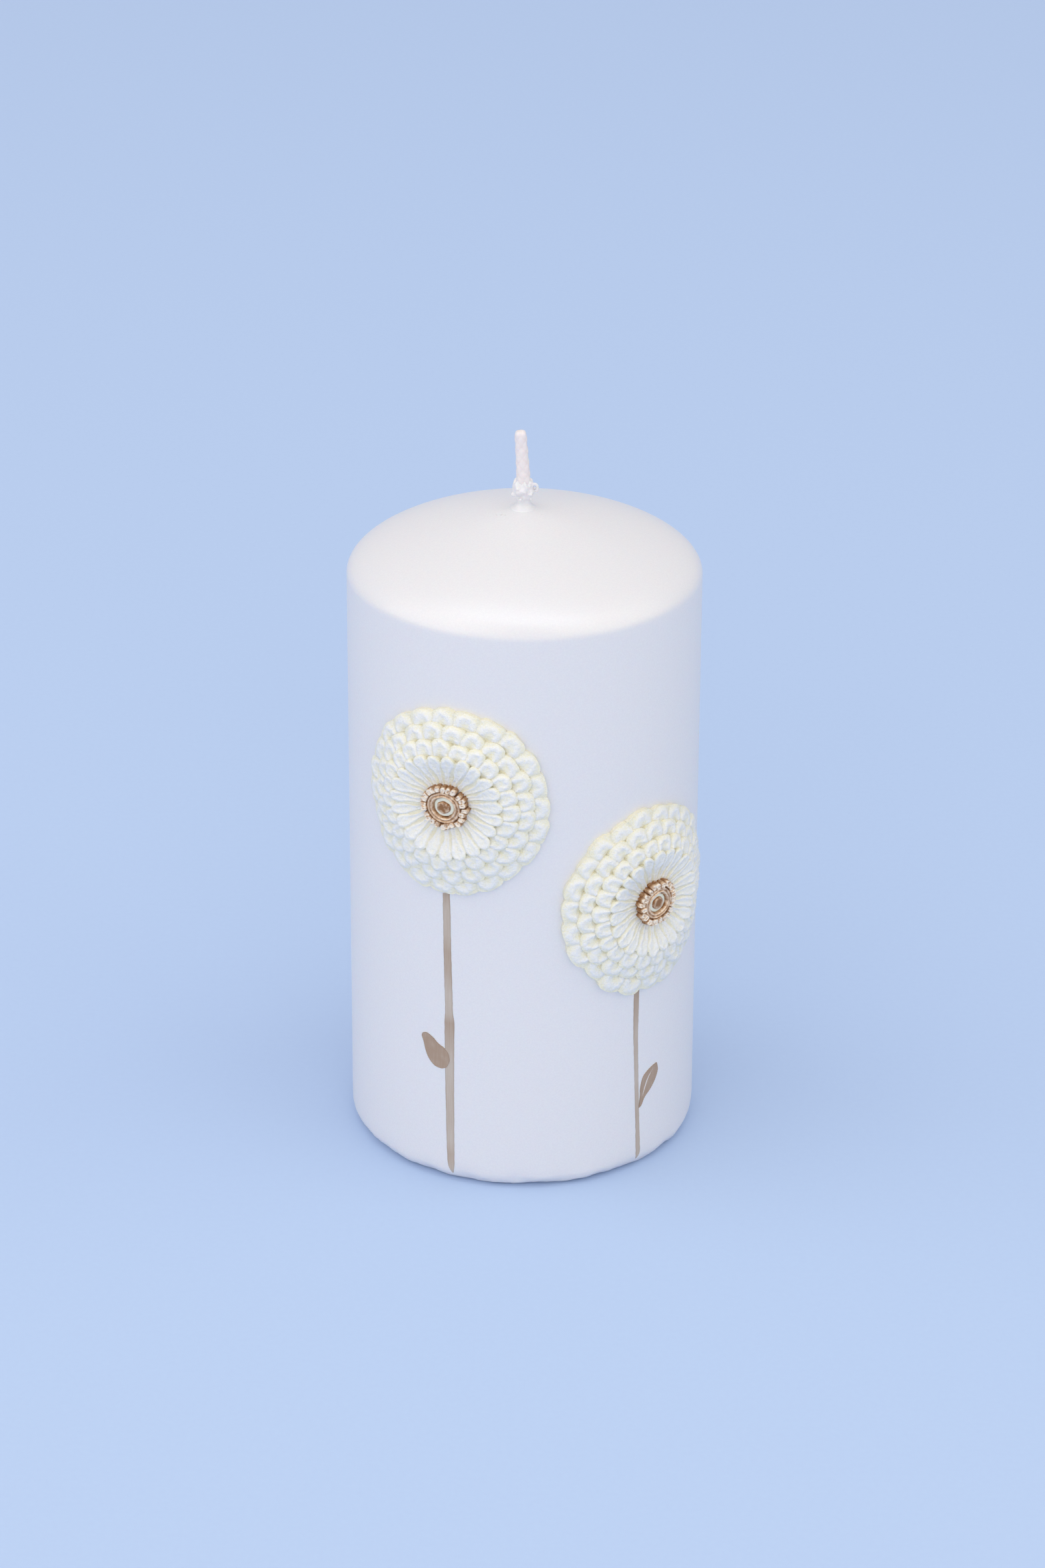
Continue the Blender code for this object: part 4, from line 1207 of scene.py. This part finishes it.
def row_reliefs(side):
    """The relief of each row, sized by its node in the frame."""
    nodes = [f"{side}_petals_{row}" for row in ROWS]
    tips = [half_height(node) for node in nodes]
    reliefs = []
    for number, (node, tip, shape) in enumerate(zip(nodes, tips, ROW_SHAPES)):
        inner = number == len(ROWS) - 1
        top = stand_off(node)[1]
        valley = top - shape.groove
        low_root = valley - 0.4 * MM if number else SUNK_IN_PAD
        low_tip = max(SUNK_IN_PAD, top - 1.6 * MM)
        reliefs.append(Relief(
            root=INNER_ROOT if inner else tips[number + 1] - TUCK_UNDER, tip=tip, notch=shape.notch,
            neck=INNER_NECK if inner else 0.66 * shape.head, head=shape.head,
            waist_from=5.6 * MM if inner else tip - 6.0 * MM, waist_to=tip - 1.5 * MM,
            low=(low_root, low_tip), valley=valley, top=top, climb=0.0 if inner else 0.16,
            rim=0.11 * MM, cup=shape.cup, undercut=shape.undercut, round_root=False,
            along=30 if inner else 22, across=22))
    return reliefs


def build_petal_rows():
    sizes = read_sizes()
    material = pearl_brushed_petal_wax()
    tree = flower_row_tree()
    for number, side in enumerate(SIDES):
        bearing, level = flower_place(side)
        turn = math.radians(OVAL_DIRECTION[side])
        dish_start = half_height(side + "_floret_crown") - 0.6 * MM
        dish_end = half_height(side + "_petals_inner_row")
        for row, relief in enumerate(row_reliefs(side)):
            seed_mesh = relief_seed("petal", relief, sizes.petal_count, 1.3)
            name = f"{side}_petals_{ROWS[row]}"
            piece = grow(name + "_cast", seed_mesh, tree, {
                "Count": sizes.petal_count, "Stagger": 0.5 * (row % 2) + 0.23 * number,
                "Turn variation": math.radians(1.1), "Size variation": 0.02,
                "Warp": sizes.petal_warp, "Warp size": 3.2 * MM,
                "Bumps": sizes.petal_bumps, "Bump size": 0.6 * MM,
                "Dish start": dish_start, "Dish end": dish_end, "Dish depth": 1.7 * MM,
                "Oval": sizes.flower_oval, "Oval direction": (math.cos(turn), math.sin(turn), 0.0),
                "Seed": 11 + 4 * row + 29 * number,
                "Bearing": bearing, "Level": level, "Radius": PILLAR_RADIUS, "Material": material})
            settle(piece, "petal_wax", name)


def polar_plate(name, rings, columns, wobble, seed):
    """A closed round plate from (reach, height, raised) rings, reach a little uneven; on gold, raised is
    painted highlight.
    """
    points = []
    rows = []
    raised = []
    for reach, height, painted_shine in rings:
        if reach == 0.0:
            rows.append([len(points)] * columns)
            points.append((0.0, 0.0, height))
            raised.append(painted_shine)
            continue
        row = []
        for column in range(columns):
            angle = FULL_TURN * column / columns
            spot = Vector((1.3 * math.cos(angle), 1.3 * math.sin(angle), seed))
            uneven = reach + wobble * noise.noise(spot)
            row.append(len(points))
            points.append((uneven * math.cos(angle), uneven * math.sin(angle), height))
            raised.append(painted_shine)
        rows.append(row)
    loop = list(zip(rows, rows[1:]))
    if rings[0][0] > 0.0:
        loop.append((rows[-1], rows[0]))
    faces = []
    for row, following in loop:
        for column in range(columns):
            after = (column + 1) % columns
            corners = dict.fromkeys((row[column], row[after], following[after], following[column]))
            faces.append(tuple(corners))
    return named_mesh(name, points, faces, **{RAISED: raised})


def build_crown(side, number, material):
    """Florets round the ring, each a small rounded tooth."""
    sizes = read_sizes()
    outer = 0.97 * half_height(side + "_floret_crown")
    inner = half_height(side + "_gold_ring")
    seat = stand_off(side + "_gold_ring")[0]
    top = stand_off(side + "_floret_crown")[1]
    bearing, level = flower_place(side)
    relief = Relief(
        root=inner - 0.05 * MM, tip=outer, notch=0.45 * MM, neck=0.46 * MM, head=0.6 * MM,
        waist_from=inner, waist_to=outer - 0.4 * MM, low=(seat - 0.4 * MM, seat - 0.5 * MM),
        valley=seat + 0.5 * MM, top=top, climb=0.0, rim=0.05 * MM, cup=0.12 * MM, undercut=0.25,
        round_root=True, along=10, across=8)
    seed_mesh = relief_seed("floret", relief, sizes.floret_count, 1.15)
    piece = grow(side + "_floret_crown_cast", seed_mesh, flower_row_tree(), {
        "Count": sizes.floret_count, "Stagger": 0.31 * number, "Turn variation": math.radians(2.8),
        "Size variation": 0.05, "Warp": 0.5 * MM, "Warp size": 1.6 * MM, "Bumps": 0.3 * MM,
        "Bump size": 0.5 * MM, "Dish start": 0.0, "Dish end": 1.0 * MM, "Dish depth": 0.0,
        "Oval": sizes.flower_oval, "Oval direction": (0.5, 0.85, 0.0), "Seed": 71 + number,
        "Bearing": bearing, "Level": level, "Radius": PILLAR_RADIUS, "Material": material})
    settle(piece, "gold_paint", side + "_floret_crown")


# The ring's cross-section from the disc outwards: share of its width, share of its height, and
# how much painted highlight the gold there gets
RING_PROFILE = (
    (0.0, 0.3, 0.1), (0.08, 0.6, 0.35), (0.2, 0.92, 0.9), (0.32, 0.98, 1.0), (0.42, 0.84, 0.45),
    (0.52, 0.8, 0.3), (0.62, 0.9, 0.7), (0.74, 0.94, 0.95), (0.88, 0.72, 0.5), (0.97, 0.45, 0.2),
    (1.0, 0.1, 0.0),
)
# The disc's top from its rim inwards: share of its reach, and millimetres below its top
DISC_PROFILE = ((0.94, 0.03), (0.8, 0.0), (0.6, 0.02), (0.4, 0.05), (0.2, 0.06))
# The dot's top from its rim inwards, in shares as the ring's: painted highlight near its rim, little in its
# middle
DOT_PROFILE = (
    (1.0, 0.1, 0.0), (0.98, 0.45, 0.1), (0.92, 0.8, 0.35), (0.78, 0.98, 0.45), (0.5, 0.94, 0.1),
    (0.25, 0.9, 0.05),
)


def build_ring(side, number, gold):
    """The gold ring, two soft ridges with a groove between them."""
    seat, crest = stand_off(side + "_gold_ring")
    outer = half_height(side + "_gold_ring") + 0.1 * MM
    inner = half_height(side + "_centre_disc")
    foot = seat - 0.4 * MM
    rows = [(inner, foot, 0.0)]
    for share, height, painted_shine in smooth_line(RING_PROFILE, 26):
        rows.append((mix(inner, outer, share), mix(seat, crest, height), painted_shine))
    rows.append((outer, foot, 0.0))
    mesh = polar_plate("ring", rows, 120, 0.16 * MM, 3.0 + number)
    ring = lay(side + "_gold_ring_painted", mesh, side, 0.12 * MM, 0.55 * MM, 5.0 + number, gold)
    settle(ring, "gold_paint", side + "_gold_ring")


def build_disc(side, number, ivory):
    """The bare ivory disc inside the ring, a little dished."""
    foot = stand_off(side + "_gold_ring")[0] - 0.2 * MM
    reach = half_height(side + "_centre_disc")
    top = stand_off(side + "_centre_disc")[1]
    rows = [(0.0, foot, 0.0), (reach, foot, 0.0), (reach, top - 0.12 * MM, 0.0)]
    for share, drop in DISC_PROFILE:
        rows.append((share * reach, top - drop * MM, 0.0))
    rows.append((0.0, top - 0.06 * MM, 0.0))
    mesh = polar_plate("disc", rows, 64, 0.1 * MM, 8.0 + number)
    disc = lay(side + "_ivory_disc", mesh, side, 0.08 * MM, 0.7 * MM, 9.0 + number, ivory)
    settle(disc, "ivory_wax", side + "_centre_disc")


def build_dot(side, number, gold):
    """The gold dot dabbed on the disc."""
    reach = half_height(side + "_centre_dot")
    base = stand_off(side + "_centre_disc")[1]
    rise = 0.42 * MM
    rows = [(0.0, base - 0.2 * MM, 0.0), (reach, base - 0.2 * MM, 0.0)]
    for share, height, painted_shine in DOT_PROFILE:
        rows.append((share * reach, base + height * rise, painted_shine))
    rows.append((0.0, base + 0.9 * rise, 0.1))
    mesh = polar_plate("dot", rows, 56, 0.2 * MM, 12.0 + number)
    dot = lay(side + "_gold_dot", mesh, side, 0.1 * MM, 0.6 * MM, 15.0 + number, gold)
    settle(dot, "gold_paint", side + "_centre_dot")


def build_flower_centres():
    florets = antique_gold_paint("antique_gold_on_florets", 0.26)
    gold = antique_gold_paint("antique_gold_on_ring", 0.05)
    ivory = cast_wax("ivory_wax_disc", tuple(read_colours().ivory_wax), 0.8 * MM, 0.4)
    for number, side in enumerate(SIDES):
        build_crown(side, number, florets)
        build_ring(side, number, gold)
        build_disc(side, number, ivory)
        build_dot(side, number, gold)


# ---------------------------------------------------------------- brushed stems and leaves

# Each stem: (across from the flower's middle, level, width) down the stroke, in millimetres,
# and (level, load) where the brush was full
STEMS = {
    "left": Stroke(
        path=((-0.93, 63.0, 1.5), (-0.84, 58.0, 1.55), (-0.72, 50.0, 1.6), (-0.5, 41.0, 1.6),
              (-0.42, 37.3, 1.65), (-0.34, 35.2, 2.05), (-0.35, 31.0, 2.0), (-0.33, 22.0, 1.85),
              (-0.24, 13.3, 1.7), (-0.16, 7.0, 1.55), (-0.08, 4.0, 1.45), (0.08, 2.4, 0.7),
              (0.2, 1.7, 0.12)),
        loads=((63.0, 0.75), (60.0, 0.35), (54.0, 0.3), (50.5, 0.72), (46.0, 0.6), (41.0, 0.18),
               (37.0, 0.25), (35.0, 0.75), (31.0, 0.6), (26.0, 0.2), (20.0, 0.3), (15.0, 0.35),
               (9.0, 0.2), (6.0, 0.55), (2.0, 0.3))),
    "right": Stroke(
        path=((-2.2, 40.4, 1.33), (-2.24, 35.0, 1.3), (-2.26, 30.0, 1.15), (-1.96, 21.7, 1.0),
              (-1.63, 13.3, 1.0), (-1.44, 9.2, 1.0), (-1.3, 5.5, 1.12), (-1.2, 3.4, 1.1),
              (-1.3, 2.4, 0.6), (-1.38, 1.8, 0.12)),
        loads=((40.4, 0.85), (36.0, 0.7), (31.0, 0.4), (26.0, 0.35), (20.0, 0.25), (12.0, 0.5),
               (8.0, 0.45), (3.0, 0.35))),
}

# Each leaf: its two sides from root to tip and the bare slit between two strokes,
# as (across from the flower's middle, level) in millimetres
LEAVES = {
    "left": LeafShape(
        near_side=((-0.95, 25.2), (-0.45, 26.2), (-0.32, 27.1), (-0.6, 28.3), (-1.46, 29.26),
                   (-2.77, 29.97), (-3.96, 30.98), (-5.33, 31.63), (-6.3, 31.35)),
        far_side=((-0.95, 25.2), (-1.6, 24.78), (-2.33, 24.62), (-3.66, 24.89), (-4.87, 26.02),
                  (-5.64, 27.54), (-6.11, 29.42), (-6.52, 30.7), (-6.3, 31.35)),
        slit=()),
    "right": LeafShape(
        near_side=((-1.19, 13.3), (-1.09, 14.25), (-0.88, 15.98), (-0.88, 17.42), (-0.3, 19.57),
                   (0.83, 20.63), (2.49, 21.3), (3.74, 21.5)),
        far_side=((-1.19, 13.3), (-0.52, 13.71), (0.38, 15.2), (2.01, 16.44), (3.38, 17.92),
                  (4.15, 19.62), (4.02, 20.8), (3.74, 21.5)),
        slit=((-0.25, 15.7), (0.3, 17.2), (1.1, 18.9), (2.4, 20.5))),
}


def skin_finder():
    """A way to ask how far the dipped skin stands off the plain side at any place on it."""
    tree = BVHTree.FromObject(bpy.data.objects["pearl_wax_skin"], bpy.context.evaluated_depsgraph_get())

    def stand_at(bearing, level):
        outwards = Vector((math.sin(bearing), -math.cos(bearing), 0.0))
        start = outwards * (PILLAR_RADIUS + 5.0 * MM) + Vector((0.0, 0.0, level))
        hit = tree.ray_cast(start, -outwards)[0]
        return hit.to_2d().length - PILLAR_RADIUS

    return stand_at


def follow_skin(mesh, side, stand_at):
    """Lift flat work by what the skin swells, sinks and rounds off under it."""
    bearing, level = flower_place(side)
    for vertex in mesh.vertices:
        vertex.co.z += stand_at(bearing + vertex.co.x / PILLAR_RADIUS, level + vertex.co.y)


def load_at(loads, level):
    """How much paint the brush held at this level of a stroke."""
    levels = [pair[0] for pair in reversed(loads)]
    values = [pair[1] for pair in reversed(loads)]
    return float(np.interp(level, levels, values))


def stem_seed(stroke, base_level, depth, sunk):
    """A brushed stroke as a closed film: thin in the middle, beaded at its edges."""
    across_steps = 12
    top = []
    low = []
    load = []
    bead = []
    line = smooth_line(stroke.path, 240)
    for number, (across, level, width) in enumerate(line):
        tilt = 0.22 if number < 4 else 0.0
        top_row = []
        low_row = []
        for step in range(across_steps + 1):
            place_in = 2.0 * step / across_steps - 1.0
            place_in = math.copysign(abs(place_in) ** 0.8, place_in)
            ripple = 0.05 * noise.noise(Vector((level * 0.9, math.copysign(3.0, place_in), width)))
            x = across + (0.5 * width + ripple) * place_in
            edge = ease_between(0.72, 0.97, abs(place_in))
            film = depth * (0.75 + 0.5 * edge) * (1.0 if abs(place_in) < 0.99 else 0.35)
            top_row.append((x * MM, (level + tilt * place_in) * MM - base_level, film))
            low_row.append(-sunk)
            load.append(load_at(stroke.loads, level))
            bead.append(0.55 * edge)
        top.append(top_row)
        low.append(low_row)
    return plate("stroke", top, low, load=load, bead=bead, bare=[0.0] * len(load))


def slit_nearness(slit, x, y):
    """1 on the bare slit between two strokes, 0 from its edges on; widest at its middle."""
    best = 0.0
    for number, (across, level) in enumerate(slit):
        share = number / (len(slit) - 1)
        half_width = 0.13 * math.sin(math.pi * min(0.97, max(0.03, share))) ** 0.7
        gap = math.hypot(x - across, y - level)
        best = max(best, 1.0 - ease_between(0.55 * half_width, 1.25 * half_width, gap))
    return best


def leaf_seed(leaf, base_level, depth, sunk):
    """A leaf filled in between its two sides, with beaded edges and any bare slit."""
    along = 84
    across_steps = 42
    near = smooth_line(leaf.near_side, along)
    far = smooth_line(leaf.far_side, along)
    slit = smooth_line(leaf.slit, 60) if leaf.slit else []
    top = []
    low = []
    load = []
    bead = []
    bare = []
    for row in range(along + 1):
        share = row / along
        top_row = []
        low_row = []
        span = math.hypot(*(near[row] - far[row]))
        for step in range(across_steps + 1):
            place_in = 2.0 * step / across_steps - 1.0
            point = mix(near[row], far[row], 0.5 + 0.5 * place_in)
            from_side = 0.5 * span * (1.0 - abs(place_in))
            from_end = min(share, 1.0 - share) * 9.0
            edge = 1.0 - ease_between(0.04, 0.24, min(from_side, from_end + 0.02))
            open_here = slit_nearness(slit, point[0], point[1]) if slit else 0.0
            film = depth * (1.0 + 0.4 * edge) * (1.0 - 0.8 * open_here)
            if abs(place_in) > 0.999 or row in (0, along):
                film = 0.35 * depth
            top_row.append((point[0] * MM, point[1] * MM - base_level, film))
            low_row.append(-sunk)
            load.append(0.95 - 0.18 * noise.noise(Vector((point[0] * 0.8, point[1] * 0.8, 4.0))))
            bead.append(0.6 * edge)
            bare.append(open_here)
        if span < 1e-6:
            spread = 0.012 * MM
            for step in range(across_steps + 1):
                x, y, z = top_row[step]
                top_row[step] = (x + spread * (step / across_steps - 0.5), y, z)
        top.append(top_row)
        low.append(low_row)
    return plate("leaf", top, low, load=load, bead=bead, bare=bare)


def build_strokes():
    sizes = read_sizes()
    material = brushed_taupe_paint()
    sunk = 0.1 * MM
    stand_at = skin_finder()
    for side in SIDES:
        level = flower_place(side)[1]
        stem_mesh = stem_seed(STEMS[side], level, sizes.paint_depth, sunk)
        follow_skin(stem_mesh, side, stand_at)
        stem = lay(side + "_stem_brushed", stem_mesh, side, 0.0, 1.0 * MM, 0.0, material)
        settle(stem, "stem_paint", side + "_stem")
        leaf_mesh = leaf_seed(LEAVES[side], level, 1.6 * sizes.paint_depth, sunk)
        follow_skin(leaf_mesh, side, stand_at)
        leaf = lay(side + "_leaf_brushed", leaf_mesh, side, 0.0, 1.0 * MM, 0.0, material)
        settle(leaf, "stem_paint", side + "_leaf")


# ---------------------------------------------------------------- pieces that keep their CAD shape


def finish_hidden_parts():
    core = cast_wax("cast_paraffin", linear("#F1EDE4"), 3.0 * MM, 0.55)
    pad = cast_wax("sticky_wax", linear("#E3DABF"), 1.5 * MM, 0.5)
    finishes = {
        "wax_core": core, "base_plug": core, "wick_sustainer": tinplate(),
        "left_adhesive_pad": pad, "right_adhesive_pad": pad}
    for name, material in finishes.items():
        node = NODES[name]
        if not node.material_slots:
            node.data.materials.append(material)
        for held in node.material_slots:
            held.material = material


# ---------------------------------------------------------------- stage

# In metres: half the floor's width, the middle of the candle, and where the camera stands
FLOOR_HALF = 6.0
MIDDLE_LEVEL = 0.07
CAMERA_PLACE = (-0.00022, -0.8695, 0.4897)
# In degrees: how far the camera looks down and how far it leans
CAMERA_DOWN = 25.7
CAMERA_ROLL = 0.25
# In millimetres
CAMERA_LENS = 113.63


def add_softbox(name, place_at, power, size, colour):
    """A flat soft light that faces the middle of the candle."""
    data = bpy.data.lights.new(name, "AREA")
    data.energy = power
    data.color = colour
    data.shape = "RECTANGLE"
    data.size, data.size_y = size
    lamp = bpy.data.objects.new(name, data)
    lamp.location = place_at
    aim = Vector((0.0, 0.0, MIDDLE_LEVEL)) - Vector(place_at)
    lamp.rotation_euler = aim.to_track_quat("-Z", "Y").to_euler()
    bpy.context.scene.collection.objects.link(lamp)
    return lamp


def around(bearing, elevation, distance):
    """A place round the candle: bearing in degrees from the front, towards the right."""
    turn = math.radians(bearing)
    lift = math.radians(elevation)
    return (
        distance * math.cos(lift) * math.sin(turn), -distance * math.cos(lift) * math.cos(turn),
        distance * math.sin(lift) + MIDDLE_LEVEL)


def build_floor():
    half = FLOOR_HALF
    mesh = bpy.data.meshes.new("studio_floor")
    corners = [(-half, -half, 0.0), (half, -half, 0.0), (half, half, 0.0), (-half, half, 0.0)]
    mesh.from_pydata(corners, [], [(0, 1, 2, 3)])
    mesh.materials.append(matte_board())
    floor = bpy.data.objects.new("studio_floor", mesh)
    bpy.context.scene.collection.objects.link(floor)


def build_lights():
    """An even pale room, a strip overhead for the shoulder's gleam, and three softboxes."""
    world = bpy.data.worlds.new("studio")
    bpy.context.scene.world = world
    world.use_nodes = True
    room = world.node_tree.nodes["Background"]
    room.inputs["Color"].default_value = (0.94, 0.94, 1.0, 1.0)
    room.inputs["Strength"].default_value = 0.725
    add_softbox("overhead_strip", around(-16.0, 86.0, 1.8), 4.6, (1.7, 0.68), (0.9, 0.97, 1.0))
    fill = add_softbox("front_fill", around(-5.0, 22.0, 2.5), 18.5, (2.6, 1.4), (1.0, 0.93, 0.79))
    add_softbox("left_softbox", around(-70.0, 38.0, 2.5), 16.0, (3.0, 2.6), (1.0, 0.93, 0.73))
    add_softbox("right_softbox", around(70.0, 38.0, 2.5), 13.0, (3.0, 2.6), (1.0, 0.92, 0.62))
    # The fill lifts the front without showing as a second gleam on the shoulder
    fill.visible_glossy = False


def build_camera():
    scene = bpy.context.scene
    data = bpy.data.cameras.new("camera")
    data.sensor_width = 36.0
    data.lens = CAMERA_LENS
    data.clip_start = 0.05
    data.clip_end = 20.0
    camera = bpy.data.objects.new("camera", data)
    tilt = Euler((math.radians(90.0 - CAMERA_DOWN), 0.0, 0.0)).to_matrix().to_4x4()
    roll = Matrix.Rotation(math.radians(CAMERA_ROLL), 4, "Z")
    camera.matrix_world = Matrix.Translation(CAMERA_PLACE) @ tilt @ roll
    scene.collection.objects.link(camera)
    scene.camera = camera
    scene.view_settings.view_transform = "Standard"


def build_stage():
    build_floor()
    build_lights()
    build_camera()


# ---------------------------------------------------------------- operators


class CANDLE_OT_skin(bpy.types.Operator):
    """Dip the pearl wax skin over the core"""

    bl_idname = "candle.skin"
    bl_label = "Pearl wax skin"

    def execute(self, context):
        build_skin()
        return {"FINISHED"}


class CANDLE_OT_wick(bpy.types.Operator):
    """Braid and wax the wick"""

    bl_idname = "candle.wick"
    bl_label = "Braided wick"

    def execute(self, context):
        build_wick()
        return {"FINISHED"}


class CANDLE_OT_collar(bpy.types.Operator):
    """Let the dip wax gather round the wick's foot"""

    bl_idname = "candle.collar"
    bl_label = "Wick collar"

    def execute(self, context):
        build_collar()
        return {"FINISHED"}


class CANDLE_OT_petals(bpy.types.Operator):
    """Cast the petal rows of both flowers"""

    bl_idname = "candle.petals"
    bl_label = "Petal rows"

    def execute(self, context):
        build_petal_rows()
        return {"FINISHED"}


class CANDLE_OT_centres(bpy.types.Operator):
    """Gild the flowers' middles: florets, ring, disc and dot"""

    bl_idname = "candle.centres"
    bl_label = "Flower middles"

    def execute(self, context):
        build_flower_centres()
        return {"FINISHED"}


class CANDLE_OT_strokes(bpy.types.Operator):
    """Brush the stems and leaves on the side"""

    bl_idname = "candle.strokes"
    bl_label = "Stems and leaves"

    def execute(self, context):
        build_strokes()
        return {"FINISHED"}


class CANDLE_OT_hidden(bpy.types.Operator):
    """Give the core, plug, sustainer and pads their finishes"""

    bl_idname = "candle.hidden"
    bl_label = "Core, plug and sustainer"

    def execute(self, context):
        finish_hidden_parts()
        return {"FINISHED"}


class CANDLE_OT_stage(bpy.types.Operator):
    """Set the floor, the soft lights and the camera"""

    bl_idname = "candle.stage"
    bl_label = "Studio"

    def execute(self, context):
        build_stage()
        return {"FINISHED"}


OPERATORS = (
    CANDLE_OT_stage, CANDLE_OT_hidden, CANDLE_OT_skin, CANDLE_OT_wick, CANDLE_OT_collar,
    CANDLE_OT_petals, CANDLE_OT_centres, CANDLE_OT_strokes)


class CANDLE_PT_panel(bpy.types.Panel):
    """Lists the candle's pieces and settings"""

    bl_idname = "CANDLE_PT_panel"
    bl_label = "Pillar candle"
    bl_space_type = "VIEW_3D"
    bl_region_type = "UI"
    bl_category = "Candle"

    def draw(self, context):
        for operator in OPERATORS:
            self.layout.operator(operator.bl_idname)
        for settings in (context.scene.candle_sizes, context.scene.candle_colours):
            for label in settings.bl_rna.properties.keys():
                if label not in ("rna_type", "name"):
                    self.layout.prop(settings, label)


CLASSES = (CandleSizes, CandleColours, *OPERATORS, CANDLE_PT_panel)


def register():
    for item in CLASSES:
        bpy.utils.register_class(item)
    bpy.types.Scene.candle_sizes = bpy.props.PointerProperty(type=CandleSizes)
    bpy.types.Scene.candle_colours = bpy.props.PointerProperty(type=CandleColours)


def unregister():
    del bpy.types.Scene.candle_colours
    del bpy.types.Scene.candle_sizes
    for item in reversed(CLASSES):
        bpy.utils.unregister_class(item)


def main():
    register()
    bpy.ops.candle.stage()
    bpy.ops.candle.hidden()
    bpy.ops.candle.skin()
    bpy.ops.candle.wick()
    bpy.ops.candle.collar()
    bpy.ops.candle.petals()
    bpy.ops.candle.centres()
    bpy.ops.candle.strokes()


if __name__ == "__main__":
    main()
